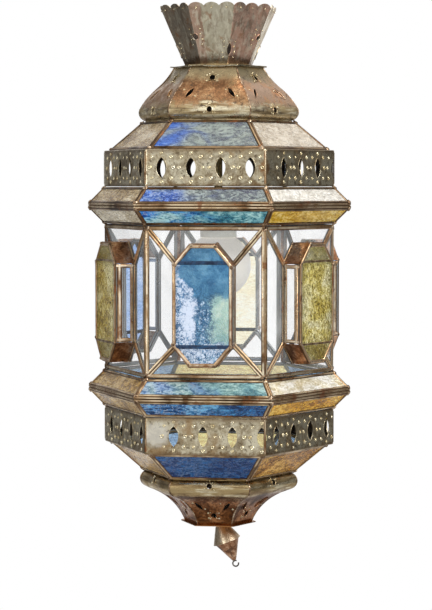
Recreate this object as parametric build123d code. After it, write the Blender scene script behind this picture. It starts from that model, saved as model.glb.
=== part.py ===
from build123d import *

import os
from math import cos, hypot, radians, sin, sqrt, tan

# Hexagonal hanging lantern of folded tin channels and coloured glass.
# Millimetres, +Z up, origin at the centre of the hanging eye; the front face looks along -Y.

# Plan: six faces, given by the distance from the axis to a corner
FACES = 6
BODY_R = 143.0
GALLERY_PROUD = 0.5
RIDGE_PROUD = 20.3
ROOF_SET_IN = 6.0
ROOF_TOP_R = 95.0

# Heights of the storeys, from the top plate down
EYE_ABOVE_PLATE = 39.0
DOME_H = 66.0
ROOF_H = 35.5
GALLERY_H = 44.0
BEVEL_H = 20.0
RIDGE_BAND_H = 6.5
BODY_H = 180.0
BELL_H = 62.0

# Sheet, glass and the folded channel that holds a pane
SHEET = 0.8
PLATE_T = 1.0
GLASS_T = 2.5
CHANNEL_WALL = 0.7
CHANNEL_W = 4.5
CHANNEL_LAP = 1.6
CHANNEL_FOOT = 2.0
GLASS_CLEAR = 0.1

# Pierced gallery bands
LIP_W = 11.5
OVAL_MARGIN = 9.75
OVAL_SHARE = 0.3286
OVALS_PER_FACE = 4
OVAL_END_MARGIN = 1.75
UPPER_OVAL_SHIFTS = (1.0, 17.5, 4.0, -6.0, 8.0, 6.0)
LOWER_OVAL_SHIFTS = (15.0, 3.0, -5.0, 6.0, -9.0, 7.5)

# Dome: how far each turn of the ogee lies inside its foot, and its drop below the plate
DOME_FOOT_SET_IN = 3.3
DOME_NECK_SET_IN = 31.0
DOME_WAIST_SET_IN = 13.0
DOME_WAIST_DROP = 25.0
DOME_BULGE = 5.8
DOME_SHOULDER_DROP = 50.0
DOME_NECK_SLOPE = 65.0

# Bell: the same turns, measured up from its plate
BELL_FOOT_SET_IN = 2.8
BELL_NECK_SET_IN = 43.0
BELL_WAIST_SET_IN = 27.5
BELL_WAIST_RISE = 25.0
BELL_SHOULDER_SET_IN = 1.5
BELL_SHOULDER_RISE = 41.0
BELL_NECK_SLOPE = 72.0
NECK_LIP = 4.0
FOOT_LIP = 4.0

# Piercings of the dome and the bell
PIERCE_ROUND_R = 3.3
PIERCE_LEAF_L = 15.0
PIERCE_LEAF_W = 4.2
PIERCE_LEAF_TILT = 40.0
DOME_TOP_HOLE_DROP = 15.0
DOME_LEAF_DROP = 34.0
DOME_LEAF_SPREAD = 25.0
DOME_LOW_HOLE_DROP = 54.0
BELL_LOW_HOLE_RISE = 13.0
BELL_LEAF_RISE = 26.0
BELL_LEAF_SPREAD = 17.0
BELL_TOP_HOLE_RISE = 55.0

# Crown
CROWN_SIDES = 8
CROWN_BASE_R = 42.0
CROWN_RIM_R = 73.0
CROWN_H = 69.0
CROWN_LIP_W = 9.0
SCALLOPS_PER_SIDE = 3
SCALLOP_RISE = 5.0
CROWN_HOLE_H = 33.0
CROWN_LEAF_H = 18.0
CROWN_LEAF_L = 15.0
CROWN_LEAF_W = 5.0
CROWN_HOLE_R = 3.6

# Body faces: octagonal opening a little below the middle, four clear panes around it
OPENING_DROP = 2.5
OPENING_SIDE_MARGIN = 38.5
OPENING_END_MARGIN = 21.0
OPENING_TOP_SHARE = 0.436
OPENING_SIDE_SHARE = 0.672
BAR_W = 3.4
POST_EXTRA = 1.8

# Jewel boxes over the octagonal openings
JEWEL_DEPTH = 25.0
JEWEL_SEAT = 2.5
JEWEL_RIM_W = 4.5
JEWEL_WALL = 0.8
JEWEL_BACK_RIM_T = 1.5
JEWEL_SIDE_BORDER = 4.5
JEWEL_SIDE_T = 2.0
JEWEL_END_PANE = 20.0
JEWEL_CREASE_GAP = 0.3

# Door in the back face
DOOR_POST_W = 6.0
DOOR_GAP = 0.4
DOOR_END_GAP = 0.5
HINGE_PIN_R = 1.0
HINGE_WALL = 1.35
HINGE_CLEAR = 0.05
HINGE_LIFT = 0.2
KNUCKLE_L = 10.0
KNUCKLE_GAP = 0.3
HINGE_FROM_END = 35.0
LEAF_W = 5.0
PIN_HEAD_R = 2.0
PIN_HEAD_T = 1.2
LATCH_L = 18.0
LATCH_W = 4.8
LATCH_T = 1.2
LATCH_LIFT = 0.3
LATCH_TAB_H = 4.8
RIVET_R = 1.2
RIVET_HEAD_R = 2.1
RIVET_HEAD_T = 0.8

# Hanging loop, stem and lamp
EYE_R = 9.0
LOOP_R = 15.0
LOOP_T = 8.0
COLLAR_R = 8.5
STEM_R = 5.0
STEM_BORE_R = 3.5
STEM_CLEAR = 0.05
STEM_IN_COLLAR = 10.0
STEM_IN_SOCKET = 12.0
STEM_L = 178.0
WIRE_HOLE_R = 3.0
WASHER_R = 36.0
WASHER_T = 1.2
NUT_AF = 14.0
NUT_T = 4.0
SOCKET_R = 19.0
SOCKET_H = 55.0
SOCKET_SHOULDER_R = 14.0
SOCKET_SHOULDER_H = 10.0
SOCKET_SKIRT_R = 22.5
SOCKET_SKIRT_H = 12.0
SOCKET_SKIRT_WALL = 1.2
SOCKET_SKIRT_DEPTH = 10.0
BULB_CAP_R = 13.0
BULB_CAP_H = 27.0
BULB_CAP_WALL = 0.8
BULB_CAP_CLEAR = 0.3
BULB_TIP_R = 5.0
BULB_TIP_H = 2.0
BULB_R = 40.0
BULB_NECK_R = 14.0
BULB_NECK_H = 7.0
BULB_WALL = 0.9

# Drop finial on its wire
FINIAL_LEAN = 20.8
WIRE_R = 1.2
BEAD_R = 5.5
BELL_HOLE_R = 4.2
BEAD_CLEAR = 0.05
SKIRT_DROP = 10.0
SKIRT_H = 21.0
SKIRT_TOP_R = 8.0
SKIRT_FOOT_R = 18.7
CONE_TIP_DROP = 56.5
CONE_HALF_ANGLE = 27.0
CONE_TIP_R = 2.4
RING_R = 3.6
RING_WIRE_R = 0.9
RING_GAP = 50.0
FINIAL_CLEAR = 0.1

# Values that follow from the driving dimensions
SECTOR = 360.0 / FACES
GALLERY_R = BODY_R + GALLERY_PROUD
RIDGE_R = BODY_R + RIDGE_PROUD
ROOF_FOOT_R = GALLERY_R - ROOF_SET_IN
CHANNEL_T = GLASS_T + 2 * GLASS_CLEAR + 2 * CHANNEL_WALL
FAR = 1000.0
SIDE_VIEW = Plane(origin=(0, 0, 0), x_dir=(0, -1, 0), z_dir=(-1, 0, 0))
PLATE_TOP_Z = -EYE_ABOVE_PLATE
DOME_TOP_Z = PLATE_TOP_Z - PLATE_T
ROOF_TOP_Z = DOME_TOP_Z - DOME_H
UPPER_GALLERY_Z = ROOF_TOP_Z - ROOF_H
UPPER_CORNICE_Z = UPPER_GALLERY_Z - GALLERY_H
CORNICE_H = 2 * BEVEL_H + RIDGE_BAND_H
BODY_TOP_Z = UPPER_CORNICE_Z - CORNICE_H
BODY_FOOT_Z = BODY_TOP_Z - BODY_H
LOWER_GALLERY_Z = BODY_FOOT_Z - CORNICE_H
LOWER_ROOF_Z = LOWER_GALLERY_Z - GALLERY_H
BELL_TOP_Z = LOWER_ROOF_Z - ROOF_H
BELL_PLATE_Z = BELL_TOP_Z - BELL_H
BODY_MID_Z = (BODY_TOP_Z + BODY_FOOT_Z) / 2
FACE_NAMES = ("front", "right_front", "right_back", "back", "left_back", "left_front")
DOOR_FACE = FACE_NAMES.index("back")


def flat(corner_r):
    """Distance from the axis to a face of the hexagon with this corner radius."""
    return corner_r * cos(radians(SECTOR / 2))


BODY_FLAT = flat(BODY_R)
BODY_HALF_W = BODY_FLAT * tan(radians(SECTOR / 2))
GALLERY_W = 2 * flat(GALLERY_R) * tan(radians(SECTOR / 2))
OVAL_L = GALLERY_H - 2 * OVAL_MARGIN
OVAL_PITCH = (GALLERY_W - 2 * OVAL_END_MARGIN) / OVALS_PER_FACE
OVAL_W = OVAL_SHARE * OVAL_PITCH
OPENING_W = 2 * (BODY_HALF_W - OPENING_SIDE_MARGIN)
OPENING_H = BODY_H - 2 * OPENING_END_MARGIN
OPENING_TOP_W = OPENING_TOP_SHARE * OPENING_W
OPENING_SIDE_H = OPENING_SIDE_SHARE * OPENING_H
JEWEL_CREASE = OPENING_H / 2 - JEWEL_END_PANE
DOME_FOOT_FLAT = flat(ROOF_TOP_R) - DOME_FOOT_SET_IN
DOME_NECK_FLAT = DOME_FOOT_FLAT - DOME_NECK_SET_IN
BELL_FOOT_FLAT = flat(ROOF_TOP_R) - BELL_FOOT_SET_IN
BELL_NECK_FLAT = BELL_FOOT_FLAT - BELL_NECK_SET_IN
TOP_PLATE_R = (DOME_NECK_FLAT + NECK_LIP) / cos(radians(SECTOR / 2))
BELL_PLATE_R = (BELL_NECK_FLAT + NECK_LIP) / cos(radians(SECTOR / 2))
FRONT = Plane(origin=(0, -BODY_FLAT, BODY_MID_Z), x_dir=(1, 0, 0), z_dir=(0, -1, 0))
OPENING = Plane(origin=(0, -BODY_FLAT, BODY_MID_Z - OPENING_DROP), x_dir=(1, 0, 0), z_dir=(0, -1, 0))


def turned(solid, face, sides=FACES):
    """A solid of the front face carried round to another face."""
    return Rotation(0, 0, face * 360.0 / sides) * solid


def outline(points):
    return make_face(Polyline(*points, close=True))


def drawn_in(points, amount):
    """A polygon with every side moved inwards by the same amount, or outwards if it is negative."""
    ends = points[1:] + points[:1]
    turn = 1 if sum(a[0] * b[1] - b[0] * a[1] for a, b in zip(points, ends)) > 0 else -1
    normals = []
    for a, b in zip(points, ends):
        length = hypot(b[0] - a[0], b[1] - a[1])
        normals.append((-turn * (b[1] - a[1]) / length, turn * (b[0] - a[0]) / length))
    moved = []
    for i, (x, y) in enumerate(points):
        before, after = normals[i - 1], normals[i]
        scale = amount / (1 + before[0] * after[0] + before[1] * after[1])
        moved.append((x + scale * (before[0] + after[0]), y + scale * (before[1] + after[1])))
    return moved


def slab(face, start, thickness):
    """A flat face on XY made solid from one height to another along its normal."""
    return extrude(Pos(0, 0, start) * face, amount=thickness)


def wedge(sides=FACES):
    """The sector of space that belongs to the front side of a regular prism."""
    half = FAR * tan(radians(180.0 / sides))
    return slab(outline([(0, 0), (half, -FAR), (-half, -FAR)]), -FAR, 2 * FAR)


def across_front(section, sides=FACES):
    """A section of (distance from axis, height) carried across the front side and mitred."""
    return extrude(SIDE_VIEW * section, amount=FAR, both=True) & wedge(sides)


def leaf(length, width):
    """A pointed oval, upright."""
    right = ThreePointArc((0, -length / 2), (width / 2, 0), (0, length / 2))
    left = ThreePointArc((0, length / 2), (-width / 2, 0), (0, -length / 2))
    return make_face([right, left])


def radial_cut(face, across, height):
    """A cutter that passes outwards through the front side at a height."""
    return extrude(Plane((across, 0, height), x_dir=(1, 0, 0), z_dir=(0, -1, 0)) * face, amount=FAR)


# Sloped panels: a ring of folded channel with its pane


def inset_trapezoid(low_half, top_half, length, side, low, top):
    """A trapezoid centred on its length, drawn in by its own amount on each side."""
    slope = (top_half - low_half) / length
    y_low = -length / 2 + low
    y_top = length / 2 - top
    x_low = low_half + slope * low - side * hypot(1, slope)
    x_top = top_half - slope * top - side * hypot(1, slope)
    return outline([(-x_low, y_low), (x_low, y_low), (x_top, y_top), (-x_top, y_top)])


def sloped_panel(top_r, top_z, low_r, low_z, band_above=0.0, band_below=0.0):
    """Channel ring and pane between two hexagons, for the front face."""
    top_flat, low_flat = flat(top_r), flat(low_r)
    length = hypot(top_flat - low_flat, top_z - low_z)
    rise_out = (top_flat - low_flat) / length
    rise_up = (top_z - low_z) / length
    inner_flat = top_flat - CHANNEL_T * rise_up
    inner_z = top_z + CHANNEL_T * rise_out
    inner_slope = rise_out / rise_up
    end_top, end_low = top_z + band_above, low_z - band_below
    section = [(top_flat, top_z), (low_flat, low_z)]
    if band_below:
        section.append((low_flat, end_low))
    section.append((inner_flat + (end_low - inner_z) * inner_slope, end_low))
    section.append((inner_flat + (end_top - inner_z) * inner_slope, end_top))
    if band_above:
        section.append((top_flat, end_top))
    ring = across_front(outline(section))

    plane = Plane(
        origin=(0, -(top_flat + low_flat) / 2, (top_z + low_z) / 2),
        x_dir=(1, 0, 0),
        z_dir=(0, -rise_up, -rise_out),
    )
    half_top = top_flat * tan(radians(SECTOR / 2))
    half_low = low_flat * tan(radians(SECTOR / 2))
    foot_low = CHANNEL_FOOT if low_r > top_r and not band_below else 0.0
    foot_top = CHANNEL_FOOT if top_r > low_r and not band_above else 0.0

    def cell(margin):
        side = CHANNEL_W - margin
        return inset_trapezoid(half_low, half_top, length, side, side + foot_low, side + foot_top)

    groove_t = GLASS_T + 2 * GLASS_CLEAR
    ring -= plane * slab(cell(0), -2 * CHANNEL_T, 3 * CHANNEL_T)
    ring -= plane * slab(cell(CHANNEL_LAP), -CHANNEL_WALL - groove_t, groove_t)
    pane_z = -CHANNEL_WALL - GLASS_CLEAR - GLASS_T
    pane = plane * slab(cell(CHANNEL_LAP - GLASS_CLEAR), pane_z, GLASS_T)
    return ring, pane


def roof(top_r, top_z, low_r, low_z):
    return [sloped_panel(top_r, top_z, low_r, low_z)]


def cornice(top_z):
    """The outward and the inward bevel that meet at the ridge."""
    ridge_top_z = top_z - BEVEL_H
    ridge_low_z = ridge_top_z - RIDGE_BAND_H
    band = RIDGE_BAND_H / 2
    upper = sloped_panel(BODY_R, top_z, RIDGE_R, ridge_top_z, band_below=band)
    lower = sloped_panel(RIDGE_R, ridge_low_z, BODY_R, ridge_low_z - BEVEL_H, band_above=band)
    return [upper, lower]


def add_storey(parts, name, panels):
    """Rings of all six faces in one node, panes in one node for each colour."""
    rings = [turned(ring, k) for k in range(FACES) for ring, _ in panels]
    blue = [turned(pane, k) for k in range(0, FACES, 2) for _, pane in panels]
    amber = [turned(pane, k) for k in range(1, FACES, 2) for _, pane in panels]
    parts[name + "_channels"] = rings
    parts[name + "_panes_blue"] = blue
    parts[name + "_panes_amber"] = amber


# Pierced gallery bands


def gallery_panel(top_z, shift):
    """One pierced side, its ovals shifted along it: a web with a lip folded in along its top and its foot."""
    out = flat(GALLERY_R)
    inner, lip = out - SHEET, out - LIP_W
    foot_z = top_z - GALLERY_H
    section = [(out, top_z), (out, foot_z), (lip, foot_z), (lip, foot_z + SHEET)]
    section += [(inner, foot_z + SHEET), (inner, top_z - SHEET), (lip, top_z - SHEET), (lip, top_z)]
    panel = across_front(outline(section))
    for i in range(OVALS_PER_FACE):
        across = (i - (OVALS_PER_FACE - 1) / 2) * OVAL_PITCH + shift
        panel -= radial_cut(leaf(OVAL_L, OVAL_W), across, top_z - GALLERY_H / 2)
    return panel


# Dome and bell: ogee panels of pierced sheet


def ogee_section(neck, waist, shoulder, foot, neck_slope, side):
    """Sheet section from a turned-out neck lip through three arcs to a turned-in foot lip."""
    down = -1 if foot[1] < neck[1] else 1
    start = (cos(radians(neck_slope)), down * sin(radians(neck_slope)))
    upper = TangentArc(neck, waist, tangent=start)
    middle = TangentArc(waist, shoulder, tangent=upper % 1)
    roll = TangentArc(shoulder, foot, tangent=middle % 1)
    neck_lip = Line((neck[0] + NECK_LIP, neck[1]), neck)
    foot_lip = Line(foot, (foot[0] - FOOT_LIP, foot[1]))
    path = Wire([neck_lip, upper, middle, roll, foot_lip])
    return make_face(path.offset_2d(SHEET, kind=Kind.INTERSECTION, side=side, closed=True))


def pierced(panel, neck_hole_z, leaf_z, leaf_spread, foot_hole_z, lean):
    """Round hole near the neck, two leaning leaves, round hole on the bulge."""
    panel -= radial_cut(Circle(PIERCE_ROUND_R), 0, neck_hole_z)
    panel -= radial_cut(Circle(PIERCE_ROUND_R), 0, foot_hole_z)
    for hand in (-1, 1):
        slit = Rotation(0, 0, hand * lean) * leaf(PIERCE_LEAF_L, PIERCE_LEAF_W)
        panel -= radial_cut(slit, hand * leaf_spread, leaf_z)
    return panel


def dome_panel():
    top = DOME_TOP_Z
    section = ogee_section(
        (DOME_NECK_FLAT, top),
        (DOME_FOOT_FLAT - DOME_WAIST_SET_IN, top - DOME_WAIST_DROP),
        (DOME_FOOT_FLAT + DOME_BULGE, top - DOME_SHOULDER_DROP),
        (DOME_FOOT_FLAT, ROOF_TOP_Z + SHEET),
        DOME_NECK_SLOPE,
        Side.LEFT,
    )
    return pierced(
        across_front(section),
        top - DOME_TOP_HOLE_DROP,
        top - DOME_LEAF_DROP,
        DOME_LEAF_SPREAD,
        top - DOME_LOW_HOLE_DROP,
        PIERCE_LEAF_TILT,
    )


def bell_panel():
    foot = BELL_PLATE_Z
    section = ogee_section(
        (BELL_NECK_FLAT, foot),
        (BELL_FOOT_FLAT - BELL_WAIST_SET_IN, foot + BELL_WAIST_RISE),
        (BELL_FOOT_FLAT - BELL_SHOULDER_SET_IN, foot + BELL_SHOULDER_RISE),
        (BELL_FOOT_FLAT, BELL_TOP_Z - SHEET),
        BELL_NECK_SLOPE,
        Side.RIGHT,
    )
    return pierced(
        across_front(section),
        foot + BELL_LOW_HOLE_RISE,
        foot + BELL_LEAF_RISE,
        BELL_LEAF_SPREAD,
        foot + BELL_TOP_HOLE_RISE,
        -PIERCE_LEAF_TILT,
    )


def hexagon(corner_r):
    return RegularPolygon(corner_r, FACES)


def top_plate():
    plate = slab(hexagon(TOP_PLATE_R), DOME_TOP_Z, PLATE_T)
    return plate - slab(Circle(STEM_R + STEM_CLEAR), DOME_TOP_Z, PLATE_T)


def bell_plate():
    z = BELL_PLATE_Z - PLATE_T
    return slab(hexagon(BELL_PLATE_R), z, PLATE_T) - slab(Circle(BELL_HOLE_R), z, PLATE_T)


# Crown: flat sides with a scalloped rim


def crown():
    base_flat = CROWN_BASE_R * cos(radians(180.0 / CROWN_SIDES))
    rim_flat = CROWN_RIM_R * cos(radians(180.0 / CROWN_SIDES))
    half_angle = radians(180.0 / CROWN_SIDES)
    slant = hypot(rim_flat - base_flat, CROWN_H)
    lean_out, lean_up = (rim_flat - base_flat) / slant, CROWN_H / slant
    reach = slant + SCALLOP_RISE
    peak = (base_flat + reach * lean_out, PLATE_TOP_Z + reach * lean_up)
    wall = SHEET / lean_up
    lip_r = base_flat - CROWN_LIP_W
    lip_z = PLATE_TOP_Z + SHEET
    inner_foot = base_flat - wall + SHEET * lean_out / lean_up
    section = [(base_flat, PLATE_TOP_Z), peak, (peak[0] - wall, peak[1])]
    section += [(inner_foot, lip_z), (lip_r, lip_z), (lip_r, PLATE_TOP_Z)]
    side = across_front(outline(section), CROWN_SIDES)

    base_half, rim_half = base_flat * tan(half_angle), rim_flat * tan(half_angle)
    width = 2 * rim_half / SCALLOPS_PER_SIDE
    top = slant
    edge = [Line((-rim_half, top), (-base_half, 0)), Line((base_half, 0), (rim_half, top))]
    edge.append(Polyline((-base_half, 0), (-base_half, -FAR), (base_half, -FAR), (base_half, 0)))
    for i in range(SCALLOPS_PER_SIDE):
        right = rim_half - i * width
        left, middle = right - width, right - width / 2
        edge.append(ThreePointArc((right, top), (middle, top + SCALLOP_RISE), (left, top)))
    plane = Plane((0, -base_flat, PLATE_TOP_Z), x_dir=(1, 0, 0), z_dir=(0, -lean_up, -lean_out))
    side &= plane * extrude(make_face(edge), amount=FAR, both=True)

    shell = side.fuse(*[turned(side, k, CROWN_SIDES) for k in range(1, CROWN_SIDES)])
    for k in range(CROWN_SIDES):
        shape, rise = leaf(CROWN_LEAF_L, CROWN_LEAF_W), CROWN_LEAF_H
        if k % 2:
            shape, rise = Circle(CROWN_HOLE_R), CROWN_HOLE_H
        shell -= turned(radial_cut(shape, 0, PLATE_TOP_Z + rise), k + 0.5, CROWN_SIDES)
    return shell


# Body faces: four glazed cells round an octagon, and the jewel box in front of it


def octagon():
    """Corners of the opening, clockwise from the upper left."""
    a, b = OPENING_W / 2, OPENING_H / 2
    quarter = [(OPENING_TOP_W / 2, b), (a, OPENING_SIDE_H / 2)]
    upper = [(-x, y) for x, y in reversed(quarter)] + quarter
    return upper + [(x, -y) for x, y in reversed(upper)]


def cells(half_w, half_h, draw_in=0.0):
    """Left, right, top and foot cell of a face; draw_in moves the corners along the diagonals."""
    corners = [(x, y - OPENING_DROP) for x, y in octagon()]
    left_up, top_left, top_right, right_up, right_low, foot_right, foot_left, left_low = corners
    share = draw_in / (half_w - right_up[0])
    x = half_w - draw_in
    top = half_h - share * (half_h - right_up[1])
    low = share * (half_h + right_low[1]) - half_h
    return [
        [(-x, top), left_up, left_low, (-x, low)],
        [(x, top), right_up, right_low, (x, low)],
        [(-x, top), left_up, top_left, top_right, right_up, (x, top)],
        [(-x, low), left_low, foot_left, foot_right, right_low, (x, low)],
    ]


def glazed_face(half_w, half_h):
    """Channel rings and clear panes of one face, in the plane of the front."""
    groove_t = GLASS_T + 2 * GLASS_CLEAR
    rings, panes = [], []
    for whole, core in zip(cells(half_w, half_h), cells(half_w, half_h, POST_EXTRA)):
        window = outline(drawn_in(core, BAR_W))
        groove = outline(drawn_in(core, BAR_W - CHANNEL_LAP))
        sheet = outline(drawn_in(core, BAR_W - CHANNEL_LAP + GLASS_CLEAR))
        ring = slab(outline(whole), -CHANNEL_T, CHANNEL_T) - slab(window, -CHANNEL_T, CHANNEL_T)
        ring -= slab(groove, -CHANNEL_WALL - groove_t, groove_t)
        rings.append(FRONT * ring & wedge())
        panes.append(FRONT * slab(sheet, -CHANNEL_WALL - GLASS_CLEAR - GLASS_T, GLASS_T))
    return rings, panes


def jewel_case():
    """Soldered copper box: back rim, folded walls with a window each side, front rim."""

    def grown(amount):
        return outline(drawn_in(octagon(), -amount))

    rim_z = JEWEL_DEPTH - CHANNEL_T
    groove_t = GLASS_T + 2 * GLASS_CLEAR
    case = slab(grown(JEWEL_SEAT), 0, JEWEL_DEPTH)
    case -= slab(grown(0), 0, JEWEL_BACK_RIM_T)
    case -= slab(grown(JEWEL_SEAT - JEWEL_WALL), JEWEL_BACK_RIM_T, rim_z - JEWEL_BACK_RIM_T)
    case -= slab(grown(JEWEL_SEAT - JEWEL_RIM_W), rim_z, CHANNEL_T)
    case -= slab(grown(JEWEL_SEAT - JEWEL_RIM_W + CHANNEL_LAP), rim_z + CHANNEL_WALL, groove_t)
    window_h = OPENING_SIDE_H - 2 * JEWEL_SIDE_BORDER
    window_t = JEWEL_DEPTH - 2 * JEWEL_SIDE_BORDER
    case -= Pos(0, 0, JEWEL_DEPTH / 2) * Box(2 * OPENING_W, window_h, window_t)
    return OPENING * case


def jewel_glass():
    """Coloured front: a middle pane and two end panes butted at the creases."""
    pane = outline(drawn_in(octagon(), JEWEL_RIM_W - JEWEL_SEAT - CHANNEL_LAP + GLASS_CLEAR))
    whole = slab(pane, JEWEL_DEPTH - CHANNEL_T + CHANNEL_WALL + GLASS_CLEAR, GLASS_T)
    middle_h = 2 * JEWEL_CREASE - JEWEL_CREASE_GAP
    middle = whole & Box(FAR, middle_h, FAR)
    end_y = JEWEL_CREASE + JEWEL_CREASE_GAP / 2 + FAR / 2
    ends = [whole & Pos(0, hand * end_y, 0) * Box(FAR, FAR, FAR) for hand in (1, -1)]
    return [OPENING * piece for piece in [middle] + ends]


def jewel_sides():
    """Clear panes that stand behind the two side windows of the box."""
    inner = OPENING_W / 2 + JEWEL_SEAT - JEWEL_WALL
    start = JEWEL_BACK_RIM_T + GLASS_CLEAR
    depth = JEWEL_DEPTH - CHANNEL_T - GLASS_CLEAR - start
    pane = slab(Rectangle(JEWEL_SIDE_T, OPENING_SIDE_H), start, depth)
    return [OPENING * Pos(hand * (inner - JEWEL_SIDE_T / 2), 0, 0) * pane for hand in (-1, 1)]


# Door: its own face between two posts, on loose-pin hinges, with a turn button

DOOR_HALF_W = BODY_HALF_W - DOOR_POST_W - DOOR_GAP
DOOR_HALF_H = BODY_H / 2 - DOOR_END_GAP
HINGE_X = DOOR_HALF_W + DOOR_GAP / 2
KNUCKLE_R = HINGE_PIN_R + HINGE_CLEAR + HINGE_WALL
HINGE_OUT = KNUCKLE_R + HINGE_LIFT
LATCH_X = -(BODY_HALF_W - DOOR_POST_W / 2)


def knuckle(low, hand):
    """A rolled knuckle with its flat leaf; hand 1 lies on the post, -1 on the door."""
    tube = Circle(KNUCKLE_R) - Circle(HINGE_PIN_R + HINGE_CLEAR)
    stock = Rectangle(KNUCKLE_R, KNUCKLE_R + HINGE_LIFT, align=(Align.MIN, Align.MAX))
    strap = Rectangle(LEAF_W, SHEET, align=(Align.MIN, Align.MIN))
    flat_leaf = Pos(DOOR_GAP / 2, -HINGE_OUT) * strap
    web = (Pos(DOOR_GAP / 2, 0) * stock) - Circle(HINGE_PIN_R + HINGE_CLEAR)
    section = tube + web + flat_leaf
    if hand < 0:
        section = mirror(section, Plane.YZ)
    place = Pos(HINGE_X, -BODY_FLAT - HINGE_OUT, BODY_MID_Z + low)
    return place * mirror(extrude(section, amount=KNUCKLE_L), Plane.XZ)


def hinge_levels():
    spread = BODY_H / 2 - HINGE_FROM_END
    return [-spread, spread]


def door_posts():
    """Posts each side of the door, with the fixed knuckles and the latch rivet soldered on."""
    strip = Rectangle(DOOR_POST_W, BODY_H)
    posts = []
    for hand in (-1, 1):
        plan = Pos(hand * (BODY_HALF_W - DOOR_POST_W / 2), 0) * strip
        posts.append(FRONT * slab(plan, -CHANNEL_T, CHANNEL_T) & wedge())
    rivet = slab(Circle(RIVET_R), 0, 2 * LATCH_LIFT + LATCH_T)
    rivet += slab(Circle(RIVET_HEAD_R), 2 * LATCH_LIFT + LATCH_T, RIVET_HEAD_T)
    posts[0] = posts[0].fuse(FRONT * Pos(LATCH_X, 0, 0) * rivet)
    posts[1] = posts[1].fuse(*[knuckle(low - KNUCKLE_L - KNUCKLE_GAP, 1) for low in hinge_levels()])
    return posts


def hinge_pins():
    """Loose pins, each with a head that rests on the door's knuckle."""
    length = 2 * KNUCKLE_L + KNUCKLE_GAP
    pin = Cylinder(HINGE_PIN_R, length, align=(Align.CENTER, Align.CENTER, Align.MAX))
    pin += Cylinder(PIN_HEAD_R, PIN_HEAD_T, align=(Align.CENTER, Align.CENTER, Align.MIN))
    place = [Pos(HINGE_X, -BODY_FLAT - HINGE_OUT, BODY_MID_Z + low + KNUCKLE_L) for low in hinge_levels()]
    return [spot * pin for spot in place]


def door_channels():
    """The door's channel rings, with its knuckles on the hinge side."""
    rings, panes = glazed_face(DOOR_HALF_W, DOOR_HALF_H)
    rings[1] = rings[1].fuse(*[knuckle(low, -1) for low in hinge_levels()])
    return rings, panes


def door_latch():
    """A turn button that hangs from its rivet, with a finger tab turned up at its end."""
    end = LATCH_L - LATCH_W / 2
    strip = Circle(LATCH_W / 2) + Pos(0, -end / 2) * Rectangle(LATCH_W, end)
    button = slab(strip, LATCH_LIFT, LATCH_T)
    button += slab(Pos(0, -end + LATCH_T / 2) * Rectangle(LATCH_W, LATCH_T), LATCH_LIFT, LATCH_TAB_H)
    button -= slab(Circle(RIVET_R + HINGE_CLEAR), 0, FAR)
    return FRONT * Pos(LATCH_X, 0, 0) * button


# Hanging loop, stem and lamp

WASHER_TOP_Z = PLATE_TOP_Z + SHEET + WASHER_T
STEM_TOP_Z = WASHER_TOP_Z + STEM_IN_COLLAR
STEM_FOOT_Z = STEM_TOP_Z - STEM_L
SOCKET_TOP_Z = STEM_FOOT_Z + STEM_IN_SOCKET
SOCKET_FOOT_Z = SOCKET_TOP_Z - SOCKET_H
WELL_FOOT_Z = SOCKET_FOOT_Z + SOCKET_SKIRT_DEPTH


def upright(face, low, high):
    return slab(face, low, high - low)


def hanging_loop():
    """Cast eye on a collar that screws onto the stem; the wire way comes up into the eye."""
    loop = Rotation(90, 0, 0) * Cylinder(LOOP_R, LOOP_T)
    loop += upright(Circle(COLLAR_R), WASHER_TOP_Z, -EYE_R - (LOOP_R - EYE_R) / 2)
    loop -= Rotation(90, 0, 0) * Cylinder(EYE_R, 4 * LOOP_T)
    loop -= upright(Circle(WIRE_HOLE_R), STEM_TOP_Z, 0)
    return loop - upright(Circle(STEM_R + STEM_CLEAR), WASHER_TOP_Z, STEM_TOP_Z)


def stem_pipe():
    return upright(Circle(STEM_R) - Circle(STEM_BORE_R), STEM_FOOT_Z, STEM_TOP_Z)


def crown_washer():
    return upright(Circle(WASHER_R) - Circle(STEM_R + STEM_CLEAR), WASHER_TOP_Z - WASHER_T, WASHER_TOP_Z)


def stem_nut():
    hole = Circle(STEM_R + STEM_CLEAR)
    return upright(RegularPolygon(NUT_AF / 2, 6, major_radius=False) - hole, DOME_TOP_Z - NUT_T, DOME_TOP_Z)


def revolved(points):
    """A turned solid from (radius, height) points."""
    return revolve(SIDE_VIEW * outline(points), Axis.Z)


def lamp_socket():
    """Porcelain lampholder: shouldered cap, wide skirt, round well for the bulb cap."""
    top, foot = SOCKET_TOP_Z, SOCKET_FOOT_Z
    well_r = BULB_CAP_R + BULB_CAP_CLEAR
    well_top_z = WELL_FOOT_Z + BULB_CAP_H + BULB_TIP_H
    stem_r = STEM_R + STEM_CLEAR
    skirt_in = SOCKET_SKIRT_R - SOCKET_SKIRT_WALL
    skirt_z = foot + SOCKET_SKIRT_H
    points = [(stem_r, top), (SOCKET_SHOULDER_R, top), (SOCKET_R, top - SOCKET_SHOULDER_H)]
    points += [(SOCKET_R, skirt_z), (SOCKET_SKIRT_R, skirt_z), (SOCKET_SKIRT_R, foot), (skirt_in, foot)]
    points += [(skirt_in, WELL_FOOT_Z), (well_r, WELL_FOOT_Z), (well_r, well_top_z)]
    points += [(STEM_BORE_R, well_top_z), (STEM_BORE_R, STEM_FOOT_Z), (stem_r, STEM_FOOT_Z)]
    return revolved(points)


def bulb_cap():
    """Screw cap of the bulb: a thin cup with its contact at the top."""
    foot = WELL_FOOT_Z
    top = foot + BULB_CAP_H
    r, wall = BULB_CAP_R, BULB_CAP_WALL
    points = [(0, top + BULB_TIP_H), (BULB_TIP_R, top + BULB_TIP_H), (BULB_TIP_R, top), (r, top), (r, foot)]
    points += [(r - wall, foot), (r - wall, top - wall), (0, top - wall)]
    return revolved(points)


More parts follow.
